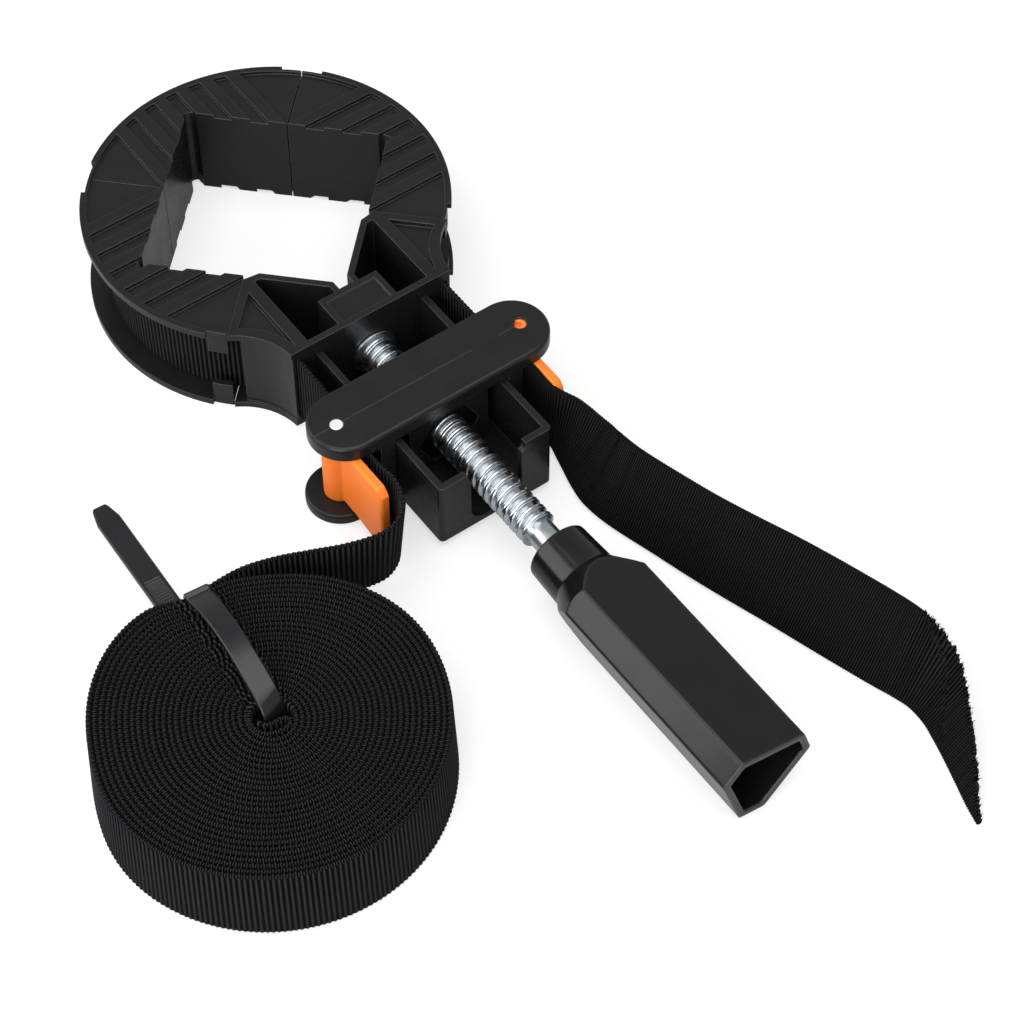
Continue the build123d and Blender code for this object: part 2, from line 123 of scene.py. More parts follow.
def start_material(name: str) -> tuple[bpy.types.Material, bpy.types.NodeTree, bpy.types.Node]:
    """Make a material with its Principled shader.

    Args:
        name: The material's name.

    Returns:
        The material, its tree and its shader node.
    """
    material = bpy.data.materials.new(name)
    material.use_nodes = True
    tree = material.node_tree
    return material, tree, tree.nodes["Principled BSDF"]


@dataclass(frozen=True)
class MouldedPlastic:
    """An injection-moulded plastic: smooth tool marks, a faint grain, light rubs from handling, and a painted
    highlight along its edges.
    """

    name: str
    colour: str
    rubbed: str
    roughness: float
    spread: float
    grain: float = 0.35
    grain_depth: float = 0.006
    specular: float = 0.5
    scatter: float = 0.0
    edge: float = 0.45
    # The colour painted along the edges as a highlight.
    edge_highlight: str = "#434346"

    def make(self) -> bpy.types.Material:
        """Build the material. The grain, its depth and the edge's rounding are in millimetres.

        Returns:
            The new material.
        """
        material, tree, shader = start_material(self.name)
        place = add_node(tree, "TexCoord").outputs["Object"]
        # Flow marks and wear drift over a centimetre or so.
        drift = add_node(
            tree, "TexNoise", {"Scale": 90.0, "Detail": 4.0, "Roughness": 0.6}, {"Vector": place}
        )
        # Spark-eroded grain is about 0.1 mm in life, drawn coarser so that it shows.
        grain = add_node(tree, "TexNoise", {"Scale": 1 / (self.grain * MM), "Detail": 3.0}, {"Vector": place})
        # Hairline scratches all run one way, some 15 mm long and 1 mm apart.
        turned = add_node(
            tree, "Mapping", {"Rotation": (0.2, 0.3, 0.7), "Scale": (60.0, 1400.0, 700.0)}, {"Vector": place}
        )
        hair = add_node(tree, "TexNoise", {"Scale": 1.0, "Detail": 2.0}, {"Vector": turned})
        scratch = add_node(tree, "MapRange", {"From Min": 0.66, "From Max": 0.74}, {"Value": hair})
        smooth, dull = self.roughness - self.spread, self.roughness + self.spread
        base = add_node(
            tree,
            "MapRange",
            {"From Min": 0.3, "From Max": 0.7, "To Min": smooth, "To Max": dull},
            {"Value": drift},
        )
        rough = add_node(tree, "Math", {"operation": "MULTIPLY_ADD", 1: 0.08}, {0: scratch, 2: base})
        tint = add_node(
            tree, "Mix", {"data_type": "RGBA", 6: linear(self.colour), 7: linear(self.rubbed)}, {0: drift}
        ).outputs[2]
        relief = add_node(tree, "Math", {"operation": "MULTIPLY_ADD", 1: -0.6}, {0: scratch, 2: grain})
        # Edges leave the mould slightly rounded, and catch a thin line of light.
        rounded = add_node(tree, "Bevel", {"samples": 6, "Radius": self.edge * MM})
        bump = add_node(
            tree, "Bump", {"Distance": self.grain_depth * MM}, {"Height": relief, "Normal": rounded}
        )
        # A painted highlight: the outermost edge is painted paler, where the rounding turns furthest from the
        # face.
        face = add_node(tree, "NewGeometry").outputs["Normal"]
        turn = add_node(tree, "VectorMath", {"operation": "DOT_PRODUCT"}, {0: rounded, 1: face})
        edge_highlight_mask = add_node(
            tree, "MapRange", {"From Min": 0.97, "From Max": 0.82}, {"Value": turn.outputs["Value"]}
        )
        skin = add_node(tree, "Mix", {"data_type": "RGBA", 7: linear(self.edge_highlight)}, {0: edge_highlight_mask, 6: tint})
        gloss = {"IOR": 1.5, "Specular IOR Level": self.specular}
        set_up(shader, gloss, {"Base Color": skin.outputs[2], "Roughness": rough, "Normal": bump})
        if self.scatter:
            # Light spreads a little under the surface, red furthest.
            depth = {"Subsurface Weight": self.scatter, "Subsurface Radius": (0.0012, 0.0006, 0.0003)}
            set_up(shader, depth, {})
        return material


@dataclass(frozen=True)
class PlatedSteel:
    """Rolled or turned steel, plated or bare: mirror-like to satin, with fine marks along one direction."""

    name: str
    colour: str
    roughness: float
    mark_depth: float = 0.01
    mark_scale: Point = (300.0, 1800.0, 300.0)

    def make(self) -> bpy.types.Material:
        """Build the material. The marks' depth is in millimetres, and their scale is marks to the metre.

        Returns:
            The new material.
        """
        material, tree, shader = start_material(self.name)
        place = add_node(tree, "TexCoord").outputs["Object"]
        stretched = add_node(tree, "Mapping", {"Scale": self.mark_scale}, {"Vector": place})
        marks = add_node(tree, "TexNoise", {"Scale": 1.0, "Detail": 4.0}, {"Vector": stretched})
        # The surface clouds over about 4 mm, a little more towards dull.
        cloud = add_node(tree, "TexNoise", {"Scale": 260.0, "Detail": 3.0}, {"Vector": place})
        smooth, dull = self.roughness - 0.08, self.roughness + 0.1
        rough = add_node(
            tree,
            "MapRange",
            {"From Min": 0.3, "From Max": 0.7, "To Min": smooth, "To Max": dull},
            {"Value": cloud},
        )
        bump = add_node(tree, "Bump", {"Distance": self.mark_depth * MM}, {"Height": marks})
        metal = {"Base Color": linear(self.colour), "Metallic": 1.0}
        set_up(shader, metal, {"Roughness": rough, "Normal": bump})
        return material


@dataclass(frozen=True)
class WovenPolyester:
    """Black polyester webbing: cords across it, wrapped by warp threads that show as small beads, with
    painted shade between them.
    """

    name: str
    thread: str
    hollow_shade: str
    rib_pitch: float
    thread_pitch: float = 0.8
    bead_depth: float = 0.2
    selvedge: float = 0.75

    def make(self) -> bpy.types.Material:
        """Build the material. It reads the webbing's own UV map, which is in metres.

        Returns:
            The new material.
        """
        material, tree, shader = start_material(self.name)
        flat = add_node(tree, "TexCoord").outputs["UV"]
        split = add_node(tree, "SeparateXYZ", {}, {"Vector": flat}).outputs
        # The edges show twice as many beads as the faces show ribs.
        half = WEBBING_WIDTH * MM / 2
        from_edge = add_node(tree, "Math", {"operation": "PINGPONG", 1: half}, {0: split["Y"]})
        edge = add_node(tree, "Math", {"operation": "LESS_THAN", 1: self.selvedge * MM}, {0: from_edge})
        finer = add_node(tree, "Math", {"operation": "ADD", 1: 1.0}, {0: edge})
        ribs = add_node(tree, "Math", {"operation": "DIVIDE", 1: self.rib_pitch * MM}, {0: split["X"]})
        along = add_node(tree, "Math", {"operation": "MULTIPLY"}, {0: ribs, 1: finer})
        # Each rib's beads stand half a bead on from its neighbour's.
        index = add_node(tree, "Math", {"operation": "FLOOR"}, {0: along})
        shift = add_node(tree, "Math", {"operation": "MULTIPLY", 1: 0.5}, {0: index})
        threads = {"operation": "MULTIPLY_ADD", 1: 1 / (self.thread_pitch * MM)}
        across = add_node(tree, "Math", threads, {0: split["Y"], 2: shift})
        turn = add_node(tree, "Math", {"operation": "MULTIPLY", 1: math.pi}, {0: across})
        wave = add_node(tree, "Math", {"operation": "SINE"}, {0: turn})
        bead = add_node(tree, "Math", {"operation": "ABSOLUTE"}, {0: wave})
        rib_turn = add_node(tree, "Math", {"operation": "MULTIPLY", 1: 2 * math.pi}, {0: along})
        rib_wave = add_node(tree, "Math", {"operation": "COSINE"}, {0: rib_turn})
        rib = add_node(tree, "MapRange", {"From Min": -0.3, "From Max": 0.85}, {"Value": rib_wave})
        lit = add_node(tree, "Math", {"operation": "MULTIPLY"}, {0: bead, 1: rib})
        # Filaments roughen the beads at about a quarter of a millimetre.
        fuzz = add_node(tree, "TexNoise", {"Scale": 4200.0, "Detail": 2.0}, {"Vector": flat})
        height = add_node(tree, "Math", {"operation": "MULTIPLY_ADD", 1: 0.4}, {0: fuzz, 2: lit})
        bump = add_node(tree, "Bump", {"Distance": self.bead_depth * MM}, {"Height": height})
        # Painted shade: the hollows between the beads and along the rib valleys are painted near black, while
        # the beads keep the thread's colour.
        tint = add_node(
            tree, "Mix", {"data_type": "RGBA", 6: linear(self.hollow_shade), 7: linear(self.thread)}, {0: lit}
        ).outputs[2]
        dull = {"Roughness": 0.72, "Specular IOR Level": 0.05, "Sheen Weight": 0.01, "Sheen Roughness": 0.5}
        set_up(shader, dull, {"Base Color": tint, "Normal": bump})
        return material


@dataclass(frozen=True)
class Paper:
    """The floor's matt paper. It keeps shadows, and the camera sees its pale grey lifted to white."""

    name: str = "matt_background_paper"
    colour: str = "#B8B8B8"
    lift: float = 0.58
    mirrored: float = 0.1

    def make(self) -> bpy.types.Material:
        """Build the material. Mirrored rays get only a share of the lift, so black walls stay black.

        Returns:
            The new material.
        """
        material, tree, shader = start_material(self.name)
        place = add_node(tree, "TexCoord").outputs["Object"]
        fibre = add_node(tree, "TexNoise", {"Scale": 400.0, "Detail": 4.0}, {"Vector": place})
        bump = add_node(tree, "Bump", {"Strength": 0.2, "Distance": 0.02 * MM}, {"Height": fibre})
        matt = {"Base Color": linear(self.colour), "Roughness": 0.9, "Specular IOR Level": 0.0}
        set_up(shader, matt, {"Normal": bump})
        rays = add_node(tree, "LightPath").outputs
        share = {"operation": "MULTIPLY", 1: self.mirrored}
        glossy = add_node(tree, "Math", share, {0: rays["Is Glossy Ray"]})
        seen = add_node(tree, "Math", {"operation": "MAXIMUM"}, {0: rays["Is Camera Ray"], 1: glossy})
        either = add_node(tree, "Math", {"operation": "MAXIMUM"}, {0: seen, 1: rays["Is Transmission Ray"]})
        power = add_node(tree, "Math", {"operation": "MULTIPLY", 1: self.lift}, {0: either})
        glow = add_node(tree, "Emission", {}, {"Strength": power})
        both = add_node(tree, "AddShader", {}, {0: shader, 1: glow})
        set_up(tree.nodes["Material Output"], {}, {"Surface": both})
        return material


@dataclass(frozen=True)
class Finish:
    """A made material and the record's slot that it stands for."""

    material: bpy.types.Material
    slot: Slot


class Finishes:
    """Every finish of the clamp, made once."""

    def __init__(self) -> None:
        """Make the materials."""
        # Black ABS off a finely ground tool: near black, with a soft grey sheen on its flats.
        satin = MouldedPlastic("black_abs_satin", "#181819", "#1E1E1F", 0.27, 0.05, specular=0.31)
        # Black ABS off a polished tool: sharper reflections along the grip's edges.
        polished = MouldedPlastic(
            "black_abs_polished", "#111112", "#151516", 0.15, 0.03, grain_depth=0.002, specular=0.45, edge=1.1
        )
        # Orange acetal: bright, slightly waxy, with a little light under its surface.
        acetal = MouldedPlastic(
            "orange_acetal",
            "#FF7C25",
            "#FF8630",
            0.42,
            0.05,
            grain_depth=0.004,
            specular=0.3,
            scatter=0.12,
            edge=0.8,
            # Its edges get a paler orange as a painted highlight.
            edge_highlight="#FFA860",
        )
        # Rolled thread under bright zinc: smooth crests and faint lines round the axis.
        zinc = PlatedSteel("bright_zinc_plated_steel", "#CBD1D6", 0.27, 0.008, (250.0, 1500.0, 250.0))
        # The nut's steel is painted dull and nearly black, standing in for the shade inside its pocket.
        pocket_shaded_steel = PlatedSteel("phosphated_steel", "#2C2D2F", 0.5, 0.002)
        # Turned pin end: flat and pale, nearly white under the lamps.
        turned = PlatedSteel("turned_steel", "#F0F1F2", 0.6, 0.004, (900.0, 900.0, 300.0))
        # Plain-woven polyester, dyed black: dull beads in ribs, with painted shade darkening the hollows
        # between them to black.
        ribbed = WovenPolyester("woven_black_polyester", "#3D3D41", "#010101", 1.4)
        # The free end lies flat and shows every pick of its weave, its hollows painted black as shade.
        fine = WovenPolyester("fine_woven_black_polyester", "#303033", "#000000", 0.76)
        # Black nylon 66 off a polished tool: satin, with a faint drift of its gloss.
        nylon = MouldedPlastic("black_nylon", "#151517", "#1B1B1E", 0.24, 0.04, grain_depth=0.002)
        self.moulding = Finish(satin.make(), Slot.MOULDING)
        self.grip = Finish(polished.make(), Slot.HANDLE)
        self.lever = Finish(acetal.make(), Slot.LEVER)
        self.zinc = Finish(zinc.make(), Slot.ZINC)
        self.pocket_shaded_steel = Finish(pocket_shaded_steel.make(), Slot.ZINC)
        self.pin = Finish(turned.make(), Slot.PIN)
        self.webbing = Finish(ribbed.make(), Slot.WEBBING)
        self.fine_webbing = Finish(fine.make(), Slot.WEBBING)
        self.nylon = Finish(nylon.make(), Slot.TIE)


def deselect() -> None:
    """Leave edit mode and select nothing."""
    if bpy.context.object is not None and bpy.context.object.mode != "OBJECT":
        bpy.ops.object.mode_set(mode="OBJECT")
    bpy.ops.object.select_all(action="DESELECT")


def select_only(piece: bpy.types.Object) -> None:
    """Select one piece and make it active.

    Args:
        piece: The piece.
    """
    deselect()
    piece.select_set(True)
    bpy.context.view_layer.objects.active = piece


def edit_all(piece: bpy.types.Object) -> None:
    """Open a piece in edit mode with its whole mesh selected.

    Args:
        piece: The piece.
    """
    select_only(piece)
    bpy.ops.object.mode_set(mode="EDIT")
    bpy.ops.mesh.select_all(action="SELECT")


def use_modifier(piece: bpy.types.Object, kind: str, **settings: object) -> None:
    """Add a modifier to a piece and apply it.

    Args:
        piece: The piece to change.
        kind: Blender's name for the modifier.
        settings: The modifier's properties.
    """
    select_only(piece)
    modifier = piece.modifiers.new(kind.title(), kind)
    for key, value in settings.items():
        setattr(modifier, key, value)
    bpy.ops.object.modifier_apply(modifier=modifier.name)


def new_piece(name: str, mesh: bpy.types.Mesh) -> bpy.types.Object:
    """Put a mesh into the scene as a piece at the origin.

    Args:
        name: The piece's name.
        mesh: Its mesh.

    Returns:
        The new piece.
    """
    piece = bpy.data.objects.new(name, mesh)
    bpy.context.scene.collection.objects.link(piece)
    return piece


def face_outwards(piece: bpy.types.Object) -> None:
    """Turn all faces of a closed piece outwards.

    Args:
        piece: The piece.
    """
    edit_all(piece)
    bpy.ops.mesh.normals_make_consistent(inside=False)
    bpy.ops.object.mode_set(mode="OBJECT")


def lay(piece: bpy.types.Object, degrees: float, axis: str, place: Sequence[float]) -> None:
    """Turn a piece's mesh about an axis through the origin, and then move it.

    Args:
        piece: The piece, whose object stays at the origin.
        degrees: The turn.
        axis: X, Y or Z.
        place: The move in millimetres.
    """
    piece.data.transform(Matrix.Rotation(math.radians(degrees), 4, axis))
    piece.data.transform(Matrix.Translation(Vector(place) * MM))


def add_block(size: Point, middle: Point) -> bpy.types.Object:
    """Add a block that is later joined to a piece or cut out of one.

    Args:
        size: Its length, width and height in millimetres.
        middle: Its middle in millimetres.

    Returns:
        The block, with its place in its mesh.
    """
    deselect()
    bpy.ops.mesh.primitive_cube_add(size=MM, calc_uvs=False)
    block = bpy.context.object
    block.data.transform(Matrix.Diagonal((*size, 1.0)))
    block.data.transform(Matrix.Translation(Vector(middle) * MM))
    return block


def join(parts: Sequence[bpy.types.Object], whole: bpy.types.Object) -> None:
    """Join parts into one of them, the whole.

    Args:
        parts: All the parts, the whole among them.
        whole: The part that the others go into.
    """
    deselect()
    for part in parts:
        part.select_set(True)
    bpy.context.view_layer.objects.active = whole
    bpy.ops.object.join()


def copy_of_node(node: str, name: str) -> bpy.types.Object:
    """Copy a solid's mesh to a new piece, joined up and with its flat faces whole.

    Args:
        node: The solid's name.
        name: The new piece's name.

    Returns:
        The new piece, at the origin.
    """
    piece = new_piece(name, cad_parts[node].data.copy())
    edit_all(piece)
    bpy.ops.mesh.remove_doubles(threshold=0.004 * MM)
    bpy.ops.mesh.dissolve_limited(angle_limit=math.radians(0.4))
    bpy.ops.object.mode_set(mode="OBJECT")
    return piece


def soften(piece: bpy.types.Object, width: float, segments: int = 2, sharp: float = 30.0) -> None:
    """Round a piece's sharp edges as its mould does, and keep its flats flat.

    Args:
        piece: The piece to change.
        width: The rounding's width in millimetres.
        segments: Faces across each rounding.
        sharp: The angle in degrees from which an edge counts as sharp.
    """
    use_modifier(
        piece,
        "BEVEL",
        width=width * MM,
        segments=segments,
        limit_method="ANGLE",
        angle_limit=math.radians(sharp),
        use_clamp_overlap=True,
        miter_outer="MITER_ARC",
    )
    bpy.ops.object.shade_smooth_by_angle(angle=math.radians(50))
    use_modifier(piece, "WEIGHTED_NORMAL", keep_sharp=True, weight=80)


def dress(piece: bpy.types.Object, finish: Finish) -> None:
    """Give a piece its one material.

    Args:
        piece: The piece.
        finish: Its finish.
    """
    piece.data.materials.clear()
    piece.data.materials.append(finish.material)


def fit(piece: bpy.types.Object, finish: Finish, body: str, *nodes: str) -> None:
    """Dress a piece, and let it ride on a body in the place of its solids.

    Args:
        piece: The piece.
        finish: Its finish.
        body: The body it moves with.
        nodes: The solids it stands for.
    """
    dress(piece, finish)
    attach(piece, body)
    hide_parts(*nodes)


def refine(
    node: str, name: str, finish: Finish, body: str, width: float, segments: int = 2, sharp: float = 30.0
) -> bpy.types.Object:
    """Make a solid's finished piece: a copy with its edges rounded.

    Args:
        node: The solid's name.
        name: The new piece's name.
        finish: Its finish.
        body: The body it moves with.
        width: The rounding's width in millimetres.
        segments: Faces across each rounding.
        sharp: The angle in degrees from which an edge counts as sharp.

    Returns:
        The new piece.
    """
    piece = copy_of_node(node, name)
    soften(piece, width, segments, sharp)
    fit(piece, finish, body, node)
    return piece


def paced(route: Route, step: float) -> list[tuple[float, ...]]:
    """Space a route's points evenly along it.

    Args:
        route: Points whose first two numbers are x and y.
        step: The spacing in millimetres, met as nearly as a whole number of steps allows.

    Returns:
        The new points.
    """
    lengths = [0.0]
    for before, after in zip(route, route[1:]):
        lengths.append(lengths[-1] + math.hypot(after[0] - before[0], after[1] - before[1]))
    count = max(2, round(lengths[-1] / step))
    result = []
    segment = 0
    for index in range(count + 1):
        target = lengths[-1] * index / count
        while segment < len(route) - 2 and lengths[segment + 1] < target:
            segment += 1
        span = lengths[segment + 1] - lengths[segment]
        share = (target - lengths[segment]) / span if span else 0.0
        result.append(tuple(a + (b - a) * share for a, b in zip(route[segment], route[segment + 1])))
    return result


def flowing(points: Route, step: float = 0.8) -> list[tuple[float, ...]]:
    """Draw a smooth curve through points.

    Args:
        points: Points of any number of values.
        step: About how far apart the new points are, in millimetres.

    Returns:
        Points on the curve, the given ones among them.
    """
    ends = [points[0], *points, points[-1]]
    result = [points[0]]
    for before, start, end, after in zip(ends, ends[1:], ends[2:], ends[3:]):
        pieces = max(1, math.ceil(math.hypot(end[0] - start[0], end[1] - start[1]) / step))
        for piece in range(1, pieces + 1):
            t = piece / pieces
            result.append(
                tuple(
                    0.5
                    * (
                        2 * b
                        + (c - a) * t
                        + (2 * a - 5 * b + 4 * c - d) * t**2
                        + (3 * b - a - 3 * c + d) * t**3
                    )
                    for a, b, c, d in zip(before, start, end, after)
                )
            )
    return result


def bent(corners: Route, radius: float, pieces: int = 8) -> list[tuple[float, float]]:
    """Round the corners of a route with arcs.

    Args:
        corners: The route's end points and corners, as x and y.
        radius: The arcs' radius.
        pieces: Straight pieces to each arc.

    Returns:
        Points along the rounded route.
    """
    result = [Vector(corners[0])]
    for before, corner, after in zip(corners, corners[1:], corners[2:]):
        middle = Vector(corner)
        back = (Vector(before) - middle).normalized()
        onward = (Vector(after) - middle).normalized()
        half = back.angle(onward) / 2
        centre = middle + (back + onward).normalized() * radius / math.sin(half)
        start = middle + back * radius / math.tan(half)
        sweep = (math.pi - 2 * half) * (1 if back.x * onward.y - back.y * onward.x < 0 else -1)
        for piece in range(pieces + 1):
            arm = start - centre
            arm.rotate(Matrix.Rotation(sweep * piece / pieces, 2))
            result.append(centre + arm)
    result.append(Vector(corners[-1]))
    return [(point.x, point.y) for point in result]


def arc(radius: float, start: float, end: float, step: float = 1.0) -> list[tuple[float, float]]:
    """Points on a circle about the ring's middle, between two angles in degrees.

    Args:
        radius: The circle's radius.
        start: The first angle.
        end: The last angle.
        step: About how many degrees the points are apart.

    Returns:
        The points, as x and y.
    """
    count = max(1, round(abs(end - start) / step))
    angles = [math.radians(start + (end - start) * index / count) for index in range(count + 1)]
    return [(radius * math.cos(angle), radius * math.sin(angle)) for angle in angles]


def past_cam(grip: Route) -> list[tuple[float, ...]]:
    """The upright route of the length that a cam grips, from its plan with two corners."""
    return [(x, y, 1.5, 0.0, 1.0) for x, y in bent(grip, 4.0)]


@dataclass
class Skin:
    """A mesh in the making: its points in metres, each face's points, and each face corner's UV values."""

    corners: list[Vector]
    faces: list[tuple[int, ...]]
    spans: list[float]


@dataclass
class Webbing:
    """A length of webbing on its edge.

    Its route gives x, y and the lower edge's height, and where they are needed the lean in degrees and the
    share of the width that is left where the end is cut askew. Sizes are in millimetres.
    """

    name: str
    route: Route
    thick: float = 1.6
    rib_pitch: float = 1.4
    rib_depth: float = 0.2
    rib_sink: float = 0.14
    columns: int = 4
    rows: int = 4
    edge: float = 0.5
    jitter: float = 0.0
    frayed: bool = False
    cut_share: float = 0.985
    least: float = 1.2
    seam: float = 0.3
    # How far the cut edge strays, and each loose thread's half width, root, reach and UV span.
    stray: tuple[float, float] = (-0.7, 0.5)
    thread: float = 0.09
    root_depth: float = 0.3
    root_aside: float = 0.5
    thread_up: tuple[float, float] = (0.3, 0.9)
    thread_along: tuple[float, float] = (-0.5, 0.6)
    thread_out: tuple[float, float] = (-0.4, 0.4)
    thread_span: float = 0.4

    def length(self) -> float:
        """The length along the webbing in millimetres."""
        return sum(math.hypot(b[0] - a[0], b[1] - a[1]) for a, b in zip(self.route, self.route[1:]))

    def section(self, half: float, height: float, sunk: float) -> list[Point]:
        """One section across the webbing, with its edges rounded.

        Args:
            half: Half the thickness there.
            height: The width there.
            sunk: How far the edges draw in there.

        Returns:
            For each point its place across the thickness, its height, and its distance round the section.
        """
        edge = min(self.edge, height / 4)
        low = sunk
        high = height - sunk
        inner = high - low - 2 * edge
        face = [low + edge + inner * row / self.rows for row in range(self.rows + 1)]
        near = 0.62 * half
        dip = 0.25 * edge
        return [
            *((half, level, level) for level in face),
            (near, high - dip, high - dip),
            (0.0, high, high),
            (-near, high - dip, high + dip),
            *((-half, level, 2 * high - level) for level in reversed(face)),
            (-near, low + dip, 2 * high - low - dip),
            (0.0, low, 2 * high - low),
            (near, low + dip, 2 * high - low + dip),
        ]

    def make(self) -> bpy.types.Object:
        """Build the webbing's mesh with its UV map in metres, and with loose threads where it is cut.

        Returns:
            The new piece.
        """
        rng = random.Random(len(self.name))
        step = self.rib_pitch / self.columns
        stops = paced([(*point, 0.0, 1.0) if len(point) == 3 else point for point in self.route], step)
        corners: list[Vector] = []
        around: list[list[float]] = []
        threads: list[tuple[Vector, Vector]] = []
        for index, (x, y, z, lean, share) in enumerate(stops):
            before = stops[max(index - 1, 0)]
            after = stops[min(index + 1, len(stops) - 1)]
            along = Vector((after[0] - before[0], after[1] - before[1], 0)).normalized()
            side = Vector((-along.y, along.x, 0))
            tilt = math.radians(lean)
            up = side * math.sin(tilt) + Vector((0, 0, math.cos(tilt)))
            out = side * math.cos(tilt) - Vector((0, 0, math.sin(tilt)))
            valley = 0.5 - 0.5 * math.cos(2 * math.pi * index / self.columns)
            half = self.thick / 2 - self.rib_depth * valley
            height = WEBBING_WIDTH * share
            cut = self.frayed and share < self.cut_share
            if cut:
                height += rng.uniform(*self.stray)
            foot = Vector((x, y, z)) + up * rng.uniform(-self.jitter, self.jitter)
            section = self.section(half, max(height, self.least), self.rib_sink * valley)
            corners += [(foot + out * a + up * b) * MM for a, b, _ in section]
            around.append([distance * MM for _, _, distance in section])
            if cut:
                aside = rng.uniform(-self.root_aside, self.root_aside)
                root = foot + up * (height - self.root_depth) + out * aside
                lift = up * rng.uniform(*self.thread_up)
                lift += along * rng.uniform(*self.thread_along)
                lift += out * rng.uniform(*self.thread_out)
                threads.append((root * MM, lift * MM))
        skin = self.cover(corners, around, step)
        for root, lift in threads:
            self.add_thread(skin, root, lift, rng)
        return self.assemble(skin)

    def cover(self, corners: list[Vector], around: list[list[float]], step: float) -> Skin:
        """Join the sections up with faces, and close both ends.

        Args:
            corners: The sections' points in metres.
            around: Each point's distance round its section in metres, section by section.
            step: How far apart the sections are, in millimetres.

        Returns:
            The skin.
        """
        ring = len(around[0])
        faces: list[tuple[int, ...]] = []
        spans: list[float] = []
        for column, (here, there) in enumerate(zip(around, around[1:])):
            u0 = column * step * MM
            u1 = (column + 1) * step * MM
            for row in range(ring):
                after = (row + 1) % ring
                a = column * ring + row
                b = column * ring + after
                faces.append((a, b, b + ring, a + ring))
                # Across the section's own seam the distance goes on from the last point.
                v01 = here[after] if after else here[row] + self.seam * MM
                v11 = there[after] if after else there[row] + self.seam * MM
                spans += [u0, here[row], u0, v01, u1, v11, u1, there[row]]
        final = (len(around) - 1) * ring
        faces.append(tuple(reversed(range(ring))))
        faces.append(tuple(final + row for row in range(ring)))
        spans += [0.0, 0.0] * ring * 2
        return Skin(corners, faces, spans)

    def add_thread(self, skin: Skin, root: Vector, lift: Vector, rng: random.Random) -> None:
        """Add one loose thread, three-sided and bent once, with a pointed end.

        Args:
            skin: What the thread is added to.
            root: Where it leaves the webbing, in metres.
            lift: Its whole reach.
            rng: The piece's own random draws.
        """
        thin = self.thread * MM
        first = len(skin.corners)
        # Any direction that no thread points in gives its two sides.
        cross = lift.cross(Vector((0.3, 0.8, 0.5))).normalized() * thin
        other = lift.cross(cross).normalized() * thin
        bend = Vector((rng.uniform(-1, 1), rng.uniform(-1, 1), rng.uniform(-0.5, 1))) * 0.3 * MM
        for place, size in ((root, 1.0), (root + lift * 0.6 + bend, 0.8)):
            back = place - cross * size / 2
            skin.corners += [place + cross * size, back + other * size, back - other * size]
        skin.corners.append(root + lift)
        for start in range(3):
            end = (start + 1) % 3
            skin.faces.append((first + start, first + end, first + 3 + end, first + 3 + start))
            skin.faces.append((first + 3 + start, first + 3 + end, first + 6))
        skin.faces.append((first + 2, first + 1, first))
        skin.spans += [0.0, self.thread_span * MM] * 24

    def assemble(self, skin: Skin) -> bpy.types.Object:
        """Turn a skin into a piece with its faces outwards.

        Args:
            skin: The webbing's skin, threads and all.

        Returns:
            The new piece.
        """
        mesh = bpy.data.meshes.new(self.name)
        mesh.from_pydata(skin.corners, [], skin.faces)
        layer = mesh.uv_layers.new(name="webbing_metres")
        layer.data.foreach_set("uv", skin.spans)
        mesh.update()
        piece = new_piece(self.name, mesh)
        face_outwards(piece)
        bpy.ops.object.shade_smooth_by_angle(angle=math.radians(70))
        return piece


@dataclass
class CornerJaws:
    """The three moulded corner jaws, with raised strips on both faces."""

    rounding: float = 0.28
    turns: tuple[tuple[str, float], ...] = (("far", 90.0), ("left", 180.0))

    def build(self, finishes: Finishes) -> list[bpy.types.Object]:
        """Model one jaw and copy it round the ring, each copy with its own mesh.

        Args:
            finishes: The clamp's finishes.

        Returns:
            The three jaws.
        """
        first = refine("jaw_right", "corner_jaw_right", finishes.moulding, "right_jaw", self.rounding)
        made = [first]
        for side, degrees in self.turns:
            copy = new_piece("corner_jaw_" + side, first.data.copy())
            lay(copy, degrees, "Z", (0, 0, 0))
            fit(copy, finishes.moulding, side + "_jaw", "jaw_" + side)
            made.append(copy)
        return made


@dataclass
class Head:
    """The head, the guide frame behind it and the thrust washer."""

    rounding: float = 0.35
    frame_rounding: float = 0.4
    washer_rounding: float = 0.15

    def build(self, finishes: Finishes) -> list[bpy.types.Object]:
        """Model the head's three pieces.

        Args:
            finishes: The clamp's finishes.

        Returns:
            The three pieces.
        """
        black = finishes.moulding
        return [
            refine("head_corner", "moulded_head", black, "head", self.rounding),
            refine("guide_frame", "moulded_guide_frame", black, "head", self.frame_rounding),
            refine("thrust_washer", "steel_thrust_washer", finishes.zinc, "head", self.washer_rounding),
        ]


@dataclass
class Carriage:
    """The carriage with its hexagon nut and the steel pin of the left lever."""

    rounding: float = 0.6
    nut_rounding: float = 0.3
    pin_rounding: float = 0.25
    line_width: float = 0.24
    line_height: float = 0.1
    line_y: float = -80.6
    plate_top: float = 31.2
    lines: tuple[tuple[float, float], ...] = ((-7.0, 42.0), (-35.3, 6.0), (25.6, 5.6))

    def build(self, finishes: Finishes) -> list[bpy.types.Object]:
        """Model the carriage's pieces.

        Args:
            finishes: The clamp's finishes.

        Returns:
            The carriage, the nut and the pin.
        """
        block = copy_of_node("carriage", "moulded_carriage")
        soften(block, self.rounding, 3)
        self.add_parting_line(block)
        fit(block, finishes.moulding, "slider", "carriage")
        return [
            block,
            refine("threaded_nut", "hexagon_nut", finishes.pocket_shaded_steel, "slider", self.nut_rounding),
            refine("cam_pin_left", "lever_pin", finishes.pin, "slider", self.pin_rounding),
        ]

    def add_parting_line(self, block: bpy.types.Object) -> None:
        """Lay the mould's faint parting line along the plate's top, past the pin and up to the levers.

        Args:
            block: The carriage, which the line is joined to.
        """
        for middle, length in self.lines:
            size = (length, self.line_width, self.line_height)
            line = add_block(size, (middle, self.line_y, self.plate_top))
            join((line, block), block)


